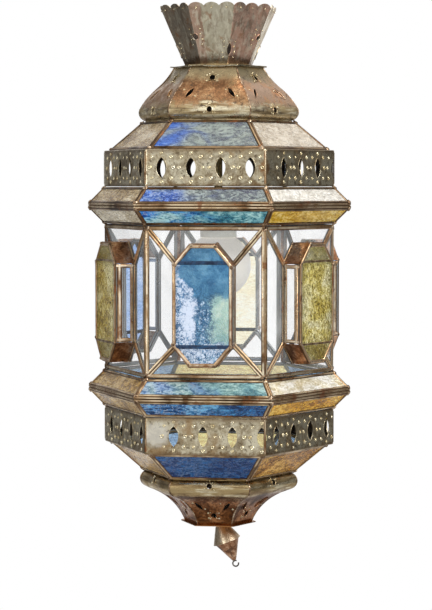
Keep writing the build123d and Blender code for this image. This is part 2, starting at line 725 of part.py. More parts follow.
def bulb_globe():
    """Hollow frosted globe on a short neck."""
    neck_z = WELL_FOOT_Z
    reach = sqrt(BULB_R**2 - BULB_NECK_R**2)
    centre_z = neck_z - BULB_NECK_H - reach
    inner_r, inner_neck = BULB_R - BULB_WALL, BULB_NECK_R - BULB_WALL
    inner_reach = sqrt(inner_r**2 - inner_neck**2)
    outer = ThreePointArc((BULB_NECK_R, centre_z + reach), (BULB_R, centre_z), (0, centre_z - BULB_R))
    inner = ThreePointArc((0, centre_z - inner_r), (inner_r, centre_z), (inner_neck, centre_z + inner_reach))
    neck = Polyline(inner @ 1, (inner_neck, neck_z), (BULB_NECK_R, neck_z), outer @ 0)
    foot = Line(outer @ 1, inner @ 0)
    return revolve(SIDE_VIEW * make_face([outer, foot, inner, neck]), Axis.Z)


# Drop finial: skirt and cone on a wire whose bead sits in the bell plate's hole

BEAD_Z = BELL_PLATE_Z + sqrt((BEAD_R + BEAD_CLEAR) ** 2 - BELL_HOLE_R**2)


def hung(solid):
    """Takes a finial piece from upright about the origin to its lean below the bead."""
    return Pos(0, 0, BEAD_Z) * Rotation(0, -FINIAL_LEAN, 0) * solid


def skirt_radius(drop):
    return SKIRT_TOP_R + (SKIRT_FOOT_R - SKIRT_TOP_R) * (drop - SKIRT_DROP) / SKIRT_H


def finial_skirt():
    """Flared sheet skirt, closed at the top but for the wire's hole."""
    top, foot = -SKIRT_DROP, -SKIRT_DROP - SKIRT_H
    hole = WIRE_R + FINIAL_CLEAR
    points = [(hole, top), (SKIRT_TOP_R, top), (SKIRT_FOOT_R, foot), (SKIRT_FOOT_R - SHEET, foot)]
    points += [(skirt_radius(SKIRT_DROP + SHEET) - SHEET, top - SHEET), (hole, top - SHEET)]
    return hung(revolved(points))


def finial_cone():
    """Sheet cone that springs from inside the skirt and ends in the wire's hole."""
    tip = -CONE_TIP_DROP
    spread = tan(radians(CONE_HALF_ANGLE))
    flare = (SKIRT_FOOT_R - SKIRT_TOP_R) / SKIRT_H
    wall = SHEET / cos(radians(CONE_HALF_ANGLE))
    inside = SKIRT_TOP_R - SHEET - FINIAL_CLEAR - flare * SKIRT_DROP
    drop = (CONE_TIP_R + CONE_TIP_DROP * spread - inside) / (flare + spread)
    rim = CONE_TIP_R + (CONE_TIP_DROP - drop) * spread
    hole = WIRE_R + FINIAL_CLEAR
    inner_tip = tip + (hole - CONE_TIP_R + wall) / spread
    points = [(rim, -drop), (CONE_TIP_R, tip), (hole, tip), (hole, inner_tip), (rim - wall, -drop)]
    return hung(revolved(points))


def finial_wire():
    """Bead, wire and the open eye bent at its lower end."""
    eye_z = -CONE_TIP_DROP - RING_R - RING_WIRE_R - FINIAL_CLEAR
    wire = upright(Circle(WIRE_R), eye_z + RING_R, 0) + Sphere(BEAD_R)
    section = Pos(RING_R, 0, eye_z) * Circle(RING_WIRE_R)
    ring = revolve(section, Axis((0, 0, eye_z), (0, 1, 0)), 360.0 - RING_GAP)
    return hung(wire + ring)


def build():
    """Every sub-part by node name: one solid or a list of solids."""
    parts = {
        "hanging_loop": hanging_loop(),
        "stem_pipe": stem_pipe(),
        "stem_nut": stem_nut(),
        "crown_washer": crown_washer(),
        "crown": crown(),
        "dome_top_plate": top_plate(),
        "bell_plate": bell_plate(),
        "lamp_socket": lamp_socket(),
        "bulb_cap": bulb_cap(),
        "bulb_globe": bulb_globe(),
        "finial_skirt": finial_skirt(),
        "finial_cone": finial_cone(),
        "finial_wire": finial_wire(),
    }
    dome, bell = dome_panel(), bell_panel()
    parts["dome_panels"] = [turned(dome, k) for k in range(FACES)]
    parts["bell_panels"] = [turned(bell, k) for k in range(FACES)]

    add_storey(parts, "roof", roof(ROOF_TOP_R, ROOF_TOP_Z, ROOF_FOOT_R, UPPER_GALLERY_Z))
    add_storey(parts, "upper_cornice", cornice(UPPER_CORNICE_Z))
    add_storey(parts, "lower_cornice", cornice(BODY_FOOT_Z))
    add_storey(parts, "lower_roof", roof(ROOF_FOOT_R, LOWER_ROOF_Z, ROOF_TOP_R, BELL_TOP_Z))
    upper = [gallery_panel(UPPER_GALLERY_Z, shift) for shift in UPPER_OVAL_SHIFTS]
    lower = [gallery_panel(LOWER_GALLERY_Z, shift) for shift in LOWER_OVAL_SHIFTS]
    parts["upper_gallery"] = [turned(panel, k) for k, panel in enumerate(upper)]
    parts["lower_gallery"] = [turned(panel, k) for k, panel in enumerate(lower)]

    rings, panes = glazed_face(BODY_HALF_W, BODY_H / 2)
    case, glass, sides = jewel_case(), jewel_glass(), jewel_sides()
    fixed_sides = []
    for k, name in enumerate(FACE_NAMES):
        prefix = "door" if k == DOOR_FACE else name
        parts[prefix + "_jewel_case"] = turned(case, k)
        parts[prefix + "_jewel_glass"] = [turned(piece, k) for piece in glass]
        if k == DOOR_FACE:
            continue
        parts[name + "_channels"] = [turned(ring, k) for ring in rings]
        parts[name + "_clear_panes"] = [turned(pane, k) for pane in panes]
        fixed_sides += [turned(pane, k) for pane in sides]
    parts["jewel_side_panes"] = fixed_sides

    door_rings, door_panes = door_channels()
    for node, solids in {
        "door_channels": door_rings,
        "door_clear_panes": door_panes,
        "door_jewel_side_panes": sides,
        "door_posts": door_posts(),
        "hinge_pins": hinge_pins(),
        "door_latch": [door_latch()],
    }.items():
        parts[node] = [turned(solid, DOOR_FACE) for solid in solids]
    return parts


def main():
    os.makedirs("parts", exist_ok=True)
    for node, solids in build().items():
        shape = Compound(children=list(solids)) if isinstance(solids, list) else solids
        export_step(shape, f"parts/{node}.step")


main()
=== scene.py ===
# %% [markdown]
# # A hexagonal fanous lantern
#
# The real lantern is made by hand: folded tin channels hold panes of coloured glass, pierced brass bands
# run between the storeys, and a beaten copper dome, bell and crown close it at both ends. The exact frame
# comes from a CAD model. This lesson dresses that frame: it keeps the glass and the small fittings, and
# rebuilds everything that a hand has bent, soldered or hammered.

# %% Load the frame
import math

import bmesh
import bpy
from mathutils import Matrix, Vector, noise


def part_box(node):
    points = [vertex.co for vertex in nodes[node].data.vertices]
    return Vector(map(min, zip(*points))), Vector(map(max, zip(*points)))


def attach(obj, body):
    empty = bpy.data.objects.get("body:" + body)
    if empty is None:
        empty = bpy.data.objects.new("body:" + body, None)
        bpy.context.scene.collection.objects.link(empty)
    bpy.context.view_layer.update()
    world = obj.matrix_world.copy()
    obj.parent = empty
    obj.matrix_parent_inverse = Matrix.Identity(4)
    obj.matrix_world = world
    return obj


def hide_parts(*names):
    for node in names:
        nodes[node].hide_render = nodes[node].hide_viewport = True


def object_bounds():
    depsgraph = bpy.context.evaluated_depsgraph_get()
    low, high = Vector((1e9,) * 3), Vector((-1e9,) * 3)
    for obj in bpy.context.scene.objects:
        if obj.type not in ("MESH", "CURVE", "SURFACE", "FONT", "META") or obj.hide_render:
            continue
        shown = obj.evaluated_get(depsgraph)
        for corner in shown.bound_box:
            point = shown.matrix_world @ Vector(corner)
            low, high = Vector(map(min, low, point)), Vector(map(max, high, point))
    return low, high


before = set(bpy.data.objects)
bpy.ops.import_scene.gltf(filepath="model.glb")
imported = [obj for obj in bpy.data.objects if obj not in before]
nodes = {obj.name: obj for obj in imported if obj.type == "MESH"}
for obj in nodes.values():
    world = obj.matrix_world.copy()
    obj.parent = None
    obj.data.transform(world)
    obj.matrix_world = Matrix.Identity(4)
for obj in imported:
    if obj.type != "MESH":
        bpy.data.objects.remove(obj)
cad_low, cad_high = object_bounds()
print("nodes in the frame:", len(nodes))

# %% [markdown]
# ## Camera
#
# The camera stands a little to the right of the front face, about level with the upper gallery, and far
# away, so the storeys keep almost the same scale from top to foot. Its place comes from matching the
# corners of every storey, which is more certain than judging it by eye.

# %% Camera
VIEW_TURN = math.radians(7.415)
VIEW_DIP = math.radians(3.38)
VIEW_DISTANCE = 2.5
VIEW_SIDE = -0.00295
VIEW_HEIGHT = -0.1842
VIEW_LENS = 119.63

camera_data = bpy.data.cameras.new("camera")
camera_data.lens = VIEW_LENS
camera = bpy.data.objects.new("camera", camera_data)
bpy.context.scene.collection.objects.link(camera)
camera.location = (
    VIEW_SIDE * math.cos(VIEW_TURN) + VIEW_DISTANCE * math.sin(VIEW_TURN),
    VIEW_SIDE * math.sin(VIEW_TURN) - VIEW_DISTANCE * math.cos(VIEW_TURN),
    VIEW_HEIGHT,
)
camera.rotation_euler = (math.radians(90) - VIEW_DIP, 0, VIEW_TURN)
bpy.context.scene.camera = camera
bpy.context.scene.view_settings.view_transform = "Standard"
print("camera at", [round(c, 3) for c in camera.location])

# %% [markdown]
# ## A short hand for nodes
#
# The studio, the finishes and the Geometry Nodes trees are all node trees. By hand, each node takes a
# line for itself and one more for every socket. A small class does that instead: each method adds one
# kind of node, wires up what it is given and hands back the socket to go on from, so a tree reads almost
# like a sum.


# %% The node helper
class Graph:
    """Adds nodes to a tree and wires them up."""

    def __init__(self, tree):
        self.tree = tree

    def add(self, kind, *values, **settings):
        """Any node, with values for its sockets in order and settings by name."""
        node = self.tree.nodes.new(kind)
        for key, value in settings.items():
            setattr(node, key, value)
        for socket, value in zip([s for s in node.inputs if s.enabled], values):
            self.set(socket, value)
        return node

    def fill(self, kind, settings, **sockets):
        """Any node, with its sockets filled by name."""
        node = self.add(kind, **settings)
        for key, value in sockets.items():
            self.set(node.inputs[key.replace("_", " ").title()], value)
        return node

    def set(self, socket, value):
        if isinstance(value, bpy.types.NodeSocket):
            self.tree.links.new(value, socket)
        elif value is not None:
            socket.default_value = value

    def math(self, operation, *values):
        return self.add("ShaderNodeMath", *values, operation=operation).outputs[0]

    def times(self, first, second):
        return self.math("MULTIPLY", first, second)

    def vector(self, operation, *values):
        node = self.add("ShaderNodeVectorMath", operation=operation)
        for socket, value in zip(node.inputs, values):
            self.set(socket, value)
        return node.outputs["Value" if operation in ("LENGTH", "DOT_PRODUCT") else "Vector"]

    def scaled(self, vector, amount):
        return self.vector("SCALE", vector, None, None, amount)

    def sum(self, *parts):
        """Adds up (value, weight) pairs."""
        total = 0.0
        for value, weight in parts:
            total = self.math("MULTIPLY_ADD", value, weight, total)
        return total

    def parts(self, place):
        return self.add("ShaderNodeSeparateXYZ", place).outputs

    def span(self, value, low, high, to_low=0.0, to_high=1.0):
        """Goes softly from one value to another between two limits."""
        limits = (value, low, high, to_low, to_high)
        return self.add("ShaderNodeMapRange", *limits, interpolation_type="SMOOTHSTEP").outputs[0]

    def ramp(self, value, *stops, stepped=False):
        node = self.add("ShaderNodeValToRGB", value)
        bar = node.color_ramp.elements
        if stepped:
            node.color_ramp.interpolation = "CONSTANT"
        while len(bar) < len(stops):
            bar.new(1.0)
        for element, (place, colour) in zip(bar, stops):
            element.position = place
            element.color = (*colour, 1.0)
        return node.outputs["Color"]

    def blend(self, share, first, second):
        """Mixes two colours."""
        node = self.add("ShaderNodeMix", data_type="RGBA")
        factor, colours = node.inputs[0], node.inputs[6:8]
        for socket, value in zip((factor, *colours), (share, first, second)):
            self.set(socket, (*value, 1.0) if isinstance(value, tuple) else value)
        return node.outputs[2]

    def cloud(self, place, scale, detail=4.0, roughness=0.55, distortion=0.0):
        sizes = {"scale": scale, "detail": detail, "roughness": roughness, "distortion": distortion}
        return self.fill("ShaderNodeTexNoise", {}, vector=place, **sizes).outputs[0]

    def stretched(self, place, scale, shift=None):
        return self.add("ShaderNodeMapping", place, shift, None, scale).outputs[0]

    def bump(self, height, strength, distance):
        node = self.fill("ShaderNodeBump", {}, strength=strength, distance=distance, height=height)
        return node.outputs["Normal"]


print("node helper ready")

# %% [markdown]
# ## A white studio
#
# The lantern hangs in front of plain white. The world is white for the camera and for rays that pass
# through glass. For reflections the side behind the camera is darker, as a real room is, because metal
# that mirrors nothing but white loses its shape.

# %% World
WHITE = (1, 1, 1, 1)
ROOM_FILL = 0.8
MIRROR_BASE = 0.15
RIGHT_SIDE = (0.66, -0.5, 0.56)
# What reflections find on each side: its brightness, where it begins and where it is full.
MIRROR_BACK = (1.0, 0.66, 0.9)
MIRROR_FRONT = (0.52, -0.6, -0.97)
MIRROR_TOP = (0.75, 0.3, 0.85)
MIRROR_RIGHT = (0.9, 0.72, 0.96)


def by_ray(g, lit, mirrored, white):
    """White for the camera and through glass, one shader for reflections and another for the light."""
    ray = g.add("ShaderNodeLightPath").outputs
    seen = g.math("MAXIMUM", ray["Is Camera Ray"], ray["Is Transmission Ray"])
    first = g.add("ShaderNodeMixShader", ray["Is Glossy Ray"], lit.outputs[0], mirrored.outputs[0])
    return g.add("ShaderNodeMixShader", seen, first.outputs[0], white.outputs[0]).outputs[0]


def studio_world():
    world = bpy.data.worlds.new("white_studio")
    world.use_nodes = True
    bpy.context.scene.world = world
    world.node_tree.nodes.clear()
    g = Graph(world.node_tree)
    toward = g.add("ShaderNodeTexCoord").outputs["Generated"]
    _, y, z = g.parts(toward)
    right = g.vector("DOT_PRODUCT", toward, RIGHT_SIDE)
    sides = ((y, MIRROR_BACK), (y, MIRROR_FRONT), (z, MIRROR_TOP), (right, MIRROR_RIGHT))
    glow = g.sum(*[(g.span(way, begin, full), bright) for way, (bright, begin, full) in sides])
    glow = g.math("MINIMUM", g.math("ADD", glow, MIRROR_BASE), 1.0)
    powers = (ROOM_FILL, glow, 1.0)
    room, mirrored, white = [g.add("ShaderNodeBackground", WHITE, power) for power in powers]
    g.add("ShaderNodeOutputWorld", by_ray(g, room, mirrored, white))


studio_world()
print("world ready, room light", ROOM_FILL)

# %% Lamps and floor
FLOOR_DROP = 0.9
FLOOR_SIZE = 5.0
FLOOR_TONE = (0.85, 0.85, 0.85, 1)
FLOOR_ROUGHNESS = 0.9
MIRROR_FLOOR = 0.66
# Place, size and power of each lamp.
LAMPS = {
    "key": ((1.6, -1.5, 1.0), (0.9, 1.3), 44.0),
    "fill": ((-1.4, -1.8, 0.1), (0.7, 1.5), 12.0),
    "top": ((0.5, 0.0, 1.9), (1.2, 1.2), 16.0),
}


def lamp(name, place, target, size, power):
    data = bpy.data.lights.new(name, "AREA")
    data.shape = "RECTANGLE"
    data.size, data.size_y = size
    data.energy = power
    made = bpy.data.objects.new(name, data)
    made.location = place
    made.rotation_euler = (Vector(target) - Vector(place)).to_track_quat("-Z", "Y").to_euler()
    bpy.context.scene.collection.objects.link(made)


def pale_floor():
    mesh = bpy.data.meshes.new("pale_floor")
    half, z = FLOOR_SIZE / 2, cad_low.z - FLOOR_DROP
    points = [(-half, -half, z), (half, -half, z), (half, half, z), (-half, half, z)]
    mesh.from_pydata(points, [], [(0, 1, 2, 3)])
    made = bpy.data.objects.new("pale_floor", mesh)
    bpy.context.scene.collection.objects.link(made)
    paint = bpy.data.materials.new("pale_floor")
    paint.use_nodes = True
    g = Graph(paint.node_tree)
    shader = g.tree.nodes["Principled BSDF"]
    shader.inputs["Base Color"].default_value = FLOOR_TONE
    shader.inputs["Roughness"].default_value = FLOOR_ROUGHNESS
    dim, white = [g.add("ShaderNodeEmission", WHITE, power) for power in (MIRROR_FLOOR, 1.0)]
    g.set(g.tree.nodes["Material Output"].inputs[0], by_ray(g, shader, dim, white))
    mesh.materials.append(paint)


middle = (cad_low + cad_high) / 2
for name, (place, size, power) in LAMPS.items():
    lamp(name, place, middle, size, power)
pale_floor()
print("lamps", len(LAMPS), "floor at", round(cad_low.z - FLOOR_DROP, 3))

# %% [markdown]
# ## Sizes
#
# Most sizes are read from the boxes of the frame's nodes, so the dressing follows the frame. Only the
# widths of folds and bars, which no box shows, are written here. All lengths are in metres.

# %% Sizes
MM = 0.001
FACES = 6
FACE_TURN = 60
FACE_NAMES = ("front", "right_front", "right_back", "door", "left_back", "left_front")
CHANNEL_W = 4.5 * MM
CHANNEL_T = 4.1 * MM
CHANNEL_FOOT = 2.0 * MM
BAR_W = 3.4 * MM
POST_W = 5.2 * MM
SILL_W = 5.4 * MM
SHEET = 0.9 * MM
RIDGE_BAND = 6.5 * MM
ROOF_TOP_R = 95 * MM
BODY_R = 143 * MM
JEWEL_SEAT = 2.5 * MM
END_PANE_H = 20 * MM
OPENING_TOP_SHARE = 0.436
OPENING_SIDE_SHARE = 0.672
DOOR_SIDE_GAP = 6.4 * MM
DOOR_END_GAP = 0.5 * MM

roof_low, roof_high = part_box("roof_channels")
lower_roof_low, lower_roof_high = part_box("lower_roof_channels")
gallery_low, gallery_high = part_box("upper_gallery")
lower_gallery_low, lower_gallery_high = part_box("lower_gallery")
ridge_low, ridge_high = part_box("upper_cornice_channels")
lower_ridge_low, lower_ridge_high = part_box("lower_cornice_channels")
face_low, face_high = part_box("front_channels")
case_low, case_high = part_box("front_jewel_case")

ROOF_FOOT_R = roof_high.x
GALLERY_R = gallery_high.x
RIDGE_R = ridge_high.x
BODY_FLAT = -face_low.y
BODY_HALF_W = BODY_R / 2
BODY_HALF_H = (face_high.z - face_low.z) / 2
BODY_MID = (face_high.z + face_low.z) / 2
JEWEL_DEPTH = -case_low.y - BODY_FLAT
OPENING_HALF_W = case_high.x - JEWEL_SEAT
OPENING_HALF_H = (case_high.z - case_low.z) / 2 - JEWEL_SEAT
OPENING_TOP = OPENING_TOP_SHARE * OPENING_HALF_W
OPENING_SIDE = OPENING_SIDE_SHARE * OPENING_HALF_H
OPENING_SHIFT = (case_high.z + case_low.z) / 2 - BODY_MID
JEWEL_MID = BODY_MID + OPENING_SHIFT
CREASE = OPENING_HALF_H - END_PANE_H
DOOR_HALF_W = BODY_HALF_W - DOOR_SIDE_GAP
DOOR_HALF_H = BODY_HALF_H - DOOR_END_GAP
print("body face", round(2 * BODY_HALF_W, 4), "by", round(2 * BODY_HALF_H, 4))
print("jewel depth", round(JEWEL_DEPTH, 4))


# %% Places on the lantern
def upward(z):
    return Vector((0, 0, z))


def heading(angle):
    """The direction at an angle from the front towards the right."""
    return Vector((math.sin(angle), -math.cos(angle), 0))


def sideways(out):
    """The direction to the right of an outward one, seen from outside."""
    return Vector((-out.y, out.x, 0))


def corner(radius, index, z):
    """A corner of a hexagon; face k lies between corners k and k + 1."""
    angle = math.radians(FACE_TURN * (index - 0.5))
    return Vector((radius * math.sin(angle), -radius * math.cos(angle), z))


def face_axes(k):
    """Across and outward directions of face k."""
    angle = math.radians(FACE_TURN * k)
    return Vector((math.cos(angle), math.sin(angle), 0)), heading(angle)


def on_face(k, u, v, depth=0.0):
    """A point on body face k: u across, v up from its middle, depth outwards."""
    across, out = face_axes(k)
    return across * u + out * (BODY_FLAT + depth) + upward(BODY_MID + v)


print("front face's middle", [round(c, 4) for c in on_face(0, 0, 0)])

# %% [markdown]
# ## Metal finishes
#
# Tin, copper and brass on such a lantern are stained by heat, flux and handling. Each metal mixes two or
# three tones with noise at a few scales, and its roughness follows the same pattern, so a stain is also
# duller. Worn edges and the grey inner side of the channels come from attributes that the sweep leaves on
# the mesh, which is better than painting by eye because it follows every bar. The gilt along the crown of
# each channel is wear and a painted highlight in one, and the dark lines along its sides are dirt in the
# seams and painted shade.

# %% Layered metal
FINE_GRAIN = 330
TONE_STOPS = (0.4, 0.5, 0.6)
CLOSE_STOPS = (0.4, 0.49, 0.58)
HIP_COS, HIP_SIN = 0.866, 0.5


def finish(name, **settings):
    """A new material with constant settings on its shader, ready for more nodes."""
    made = bpy.data.materials.new(name)
    made.use_nodes = True
    g = Graph(made.node_tree)
    shader = g.tree.nodes["Principled BSDF"]
    for key, value in settings.items():
        shader.inputs[key.replace("_", " ").title().replace("Ior", "IOR")].default_value = value
    place = g.add("ShaderNodeTexCoord").outputs["Object"]
    return made, g, shader, place


class Sheet:
    """A metal finish built up in layers, from the ground tone to stains, rust and wear."""

    def __init__(self, name, scale, *tones, stops=TONE_STOPS, metallic=1.0):
        self.made, self.g, self.shader, self.place = finish(name, metallic=metallic)
        g = self.g
        self.x, self.y, self.z = g.parts(self.place)
        self.wide = g.cloud(self.place, scale, detail=5.0, roughness=0.62, distortion=0.7)
        self.fine = g.cloud(self.place, FINE_GRAIN, detail=4.0, roughness=0.7)
        self.tone = g.sum((self.wide, 0.65), (self.fine, 0.35))
        self.colour = g.ramp(self.tone, *zip(stops, tones))

    def layer(self, share, colour, strength=1.0):
        """Lays a colour over the sheet where the mask is."""
        if strength < 1.0:
            share = self.g.times(share, strength)
        self.colour = self.g.blend(share, self.colour, colour)

    def patches(self, scale, low, high, stretch=(1, 1, 1), seed=0.0):
        """A mask of clouds, drawn out along the axes with a small stretch."""
        spot = self.g.stretched(self.place, stretch, (seed, seed, seed))
        clouds = self.g.cloud(spot, scale, detail=5.0, roughness=0.65, distortion=0.5)
        return self.g.span(clouds, low, high)

    def band(self, low, high, soft, ragged=0.0):
        """A mask between two heights, with edges that wander."""
        g = self.g
        level = g.math("MULTIPLY_ADD", g.math("SUBTRACT", self.tone, 0.5), ragged, self.z)
        above = g.span(level, low - soft, low + soft)
        return g.times(above, g.span(level, high + soft, high - soft))

    def near(self, point, radius):
        """A ragged mask round one place."""
        g = self.g
        away = g.vector("LENGTH", g.vector("SUBTRACT", self.place, point))
        ragged = g.math("MULTIPLY_ADD", g.math("SUBTRACT", self.fine, 0.5), radius, away)
        return g.span(ragged, radius, radius * 0.45)

    def panel(self, hand):
        """A mask of the panels on the right (1) or the left (-1) of the front one."""
        side = self.g.sum((self.x, hand * HIP_COS), (self.y, HIP_SIN))
        return self.g.span(side, -1 * MM, 1 * MM)

    def done(self, smooth, dull, bump=0.25, depth=1.0 * MM):
        """Wires the layers to the shader; deep tones are dull and pale ones smooth."""
        g = self.g
        g.set(self.shader.inputs["Base Color"], self.colour)
        g.set(self.shader.inputs["Roughness"], g.span(self.tone, 0.4, 0.6, dull, smooth))
        g.set(self.shader.inputs["Normal"], g.bump(g.sum((self.wide, 0.6), (self.fine, 0.4)), bump, depth))
        return self.made


print("metal helper ready, fine grain", FINE_GRAIN)

# %% Channel finishes
SEAM_DIRT_AND_EDGE_SHADE = (0.035, 0.02, 0.012)
CHANNEL_RUST = (0.26, 0.09, 0.03)
INNER_GREY = (0.42, 0.43, 0.43)


def bronzed_channel(name, dark, main, pale, gilt):
    """Folded strip: drifting tone, a rubbed crown that is also a painted highlight, dark seams beside it that
    are also painted shade, and a grey inner side.
    """
    made, g, shader, place = finish(name, metallic=1.0)
    keys = ("side", "depth", "tone")
    side, depth, tone = [g.add("ShaderNodeAttribute", attribute_name=key).outputs["Fac"] for key in keys]
    drift = g.cloud(place, 18, detail=4.0, roughness=0.55, distortion=0.5)
    fine = g.cloud(place, 240, detail=4.0, roughness=0.7)
    mixed = g.sum((drift, 0.66), (fine, 0.24), (tone, 0.1))
    colour = g.ramp(mixed, (0.38, dark), (0.5, main), (0.64, pale))
    away = g.math("ABSOLUTE", side)
    # painted highlight: gilt along the crown of the bar, both wear and the highlight that a lamp would leave
    # there
    crown = g.times(g.span(depth, 0.3, 0.5), g.span(away, 0.3, 0.1))
    wear = g.cloud(place, 24, detail=4.0, roughness=0.6, distortion=0.4)
    rubbed = g.times(crown, g.span(wear, 0.4, 0.62, 0.0, 0.9))
    colour = g.blend(rubbed, colour, gilt)
    # painted shade: both sides of the bar are darkened where they turn from the light, along with dirt in the
    # seams
    seam_dirt_and_shade_mask = g.times(g.span(away, 0.37, 0.49), 0.85)
    colour = g.blend(seam_dirt_and_shade_mask, colour, SEAM_DIRT_AND_EDGE_SHADE)
    rust = g.cloud(place, 55, detail=5.0, roughness=0.7, distortion=0.8)
    colour = g.blend(g.times(g.span(rust, 0.56, 0.64), 0.7), colour, CHANNEL_RUST)
    inner_side = g.span(depth, 0.05, -0.2)
    colour = g.blend(inner_side, colour, INNER_GREY)
    g.set(shader.inputs["Base Color"], colour)
    g.set(shader.inputs["Roughness"], g.span(mixed, 0.4, 0.62, 0.48, 0.24))
    g.set(shader.inputs["Normal"], g.bump(g.sum((drift, 0.4), (fine, 0.6)), 0.3, 0.7 * MM))
    return made


# The dark, main and pale tone of each channel, and its gilt where it is rubbed, which is also its painted
# highlight.
# The face channel is a lighter, lit copy of the bronze and the roof channel a darker, shaded copy of it.
CHANNEL_TONES = {
    "bronzed_channel": ((0.065, 0.034, 0.017), (0.2, 0.112, 0.054), (0.42, 0.28, 0.15), (0.9, 0.72, 0.46)),
    "face_channel": ((0.12, 0.065, 0.032), (0.38, 0.235, 0.12), (0.68, 0.5, 0.3), (1.0, 0.89, 0.66)),
    "roof_channel": ((0.04, 0.022, 0.012), (0.11, 0.064, 0.033), (0.22, 0.145, 0.08), (0.36, 0.25, 0.14)),
    "rubbed_and_glinting_ridge": ((0.11, 0.056, 0.026), (0.31, 0.18, 0.088), (0.56, 0.39, 0.21), (0.97, 0.83, 0.57)),
    "copper_rim": ((0.17, 0.085, 0.042), (0.47, 0.29, 0.15), (0.76, 0.54, 0.33), (1.0, 0.88, 0.68)),
}
channels = [bronzed_channel(name, *tones) for name, tones in CHANNEL_TONES.items()]
CHANNEL, LIT_FACE_CHANNEL, SHADED_ROOF_CHANNEL, RIDGE, RIM = channels
print("channel finishes made:", len(channels))

# %% Solder and fittings
SOLDER_TONES = ((0.09, 0.055, 0.035), (0.3, 0.19, 0.11), (0.62, 0.5, 0.36))
STEEL_TONES = ((0.05, 0.04, 0.035), (0.13, 0.11, 0.09), (0.3, 0.26, 0.22))
FITTING_TONES = ((0.3, 0.22, 0.1), (0.5, 0.38, 0.18), (0.68, 0.55, 0.32))
INK_TONES = ((0.0, 0.008, 0.03), (0.002, 0.02, 0.06), (0.01, 0.06, 0.14))
BOSS_TONES = ((0.55, 0.44, 0.24), (0.78, 0.68, 0.44), (0.92, 0.85, 0.66))
TIN_TONES = ((0.34, 0.25, 0.15), (0.64, 0.51, 0.35), (0.86, 0.75, 0.57))
# painted shade: near black for the inner side of the sheets, standing for the shade inside the lantern
INSIDE_SHADE_TONES = ((0.015, 0.01, 0.007), (0.045, 0.03, 0.02), (0.1, 0.07, 0.045))


def plain_metal(name, scale, tones, smooth, dull, bump=0.25, metallic=1.0):
    """One ground of three tones, without further layers."""
    return Sheet(name, scale, *tones, metallic=metallic).done(smooth, dull, bump)


SOLDER = plain_metal("brown_solder", 150, SOLDER_TONES, smooth=0.28, dull=0.5)
STEEL = plain_metal("dark_steel", 90, STEEL_TONES, smooth=0.32, dull=0.5)
FITTING = plain_metal("plain_brass", 60, FITTING_TONES, smooth=0.25, dull=0.45)
INK = plain_metal("inky_crease", 150, INK_TONES, smooth=0.2, dull=0.85, metallic=0.0)
BOSS = plain_metal("rubbed_boss", 60, BOSS_TONES, smooth=0.2, dull=0.34)
TIN = plain_metal("grey_tin", 70, TIN_TONES, smooth=0.3, dull=0.5, bump=0.3)
INSIDE_SHADE = plain_metal("painted_inside_shade", 60, INSIDE_SHADE_TONES, smooth=0.5, dull=0.7, bump=0.3, metallic=0.6)
print("plain finishes made: 7")

# %% [markdown]
# ## Sheet finishes
#
# The large sheets age in places that can be named: brass goes brown along its folds, the dome is rusty on its
# slopes and rubbed bright on its bulge, and every flute of the crown has its own tone of tarnish. Some layers
# are painted light instead: the dome's panels are lit on the right and shaded on the left, the top plate
# casts a painted shadow below the neck, level bands of painted reflection cross the bulges of dome and bell,
# a painted reflection lies at one end of the lower gallery, and the flutes of the crown that face the lamps
# are painted paler than the others.
# So each of them starts from a ground and gets its stains as layers, with masks for heights, panels and
# single spots. That keeps a stain in its place on the metal from every side, which one noise over the
# whole sheet could not do.

# %% Brass and copper sheet
FOLD_STAIN = 3 * MM
RUST_SPOT = 10 * MM
GLARE_SPOT_R = 19 * MM
GLARE_INSET = 14 * MM


def gallery_brass():
    """Stained folds, pits and heat, with rust at one end of the front and a painted reflection at an end
    below it.
    """
    tones = (0.25, 0.19, 0.11), (0.53, 0.45, 0.3), (0.8, 0.73, 0.54)
    sheet = Sheet("pierced_brass", 46, *tones, stops=CLOSE_STOPS)
    sheet.layer(sheet.patches(60, 0.52, 0.64), (0.2, 0.14, 0.075), 0.55)
    pits = sheet.patches(210, 0.55, 0.64, seed=3.0)
    sheet.layer(pits, (0.1, 0.065, 0.035), 0.7)
    heat = sheet.patches(22, 0.55, 0.68, seed=7.0)
    sheet.layer(heat, (0.4, 0.24, 0.1), 0.6)
    for edge in (gallery_low.z, gallery_high.z, lower_gallery_low.z, lower_gallery_high.z):
        fold = sheet.band(edge - FOLD_STAIN, edge + FOLD_STAIN, soft=2.5 * MM, ragged=22 * MM)
        sheet.layer(fold, (0.2, 0.115, 0.05), 0.6)
    rust_end = corner(BODY_R, 1, (gallery_low.z + gallery_high.z) / 2)
    sheet.layer(sheet.near(rust_end, RUST_SPOT), (0.3, 0.14, 0.05), 0.75)
    # painted reflection: a pale patch near the left end of the lower gallery's front, where the bent sheet
    # catches the light
    lower_end = corner(BODY_R, 0, (lower_gallery_low.z + lower_gallery_high.z) / 2)
    glare_middle = lower_end + Vector((GLARE_INSET, 0, 2 * MM))
    front_side = sheet.g.span(sheet.x, glare_middle.x - GLARE_INSET, glare_middle.x - GLARE_INSET + 1 * MM)
    bright = sheet.g.times(front_side, sheet.near(glare_middle, GLARE_SPOT_R))
    sheet.layer(bright, (0.95, 0.92, 0.82), 0.6)
    return sheet.done(smooth=0.24, dull=0.42, bump=0.3)


def jewel_copper():
    sheet = Sheet("jewel_copper", 42, (0.15, 0.068, 0.034), (0.38, 0.19, 0.1), (0.7, 0.47, 0.31))
    sheet.layer(sheet.patches(90, 0.54, 0.62), (0.1, 0.05, 0.03), 0.8)
    return sheet.done(smooth=0.26, dull=0.5, bump=0.4)


BRASS = gallery_brass()
COPPER = jewel_copper()
print("brass and copper made")

# %% Dome and bell finishes
dome_low, dome_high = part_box("dome_panels")
bell_low, bell_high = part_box("bell_panels")
LEVEL_REFLECTIONS = (0.5, 0.5, 5)
NECK_SHADOW = Vector((40 * MM, -42 * MM, dome_high.z - 4 * MM))
NECK_SHADOW_R = 22 * MM


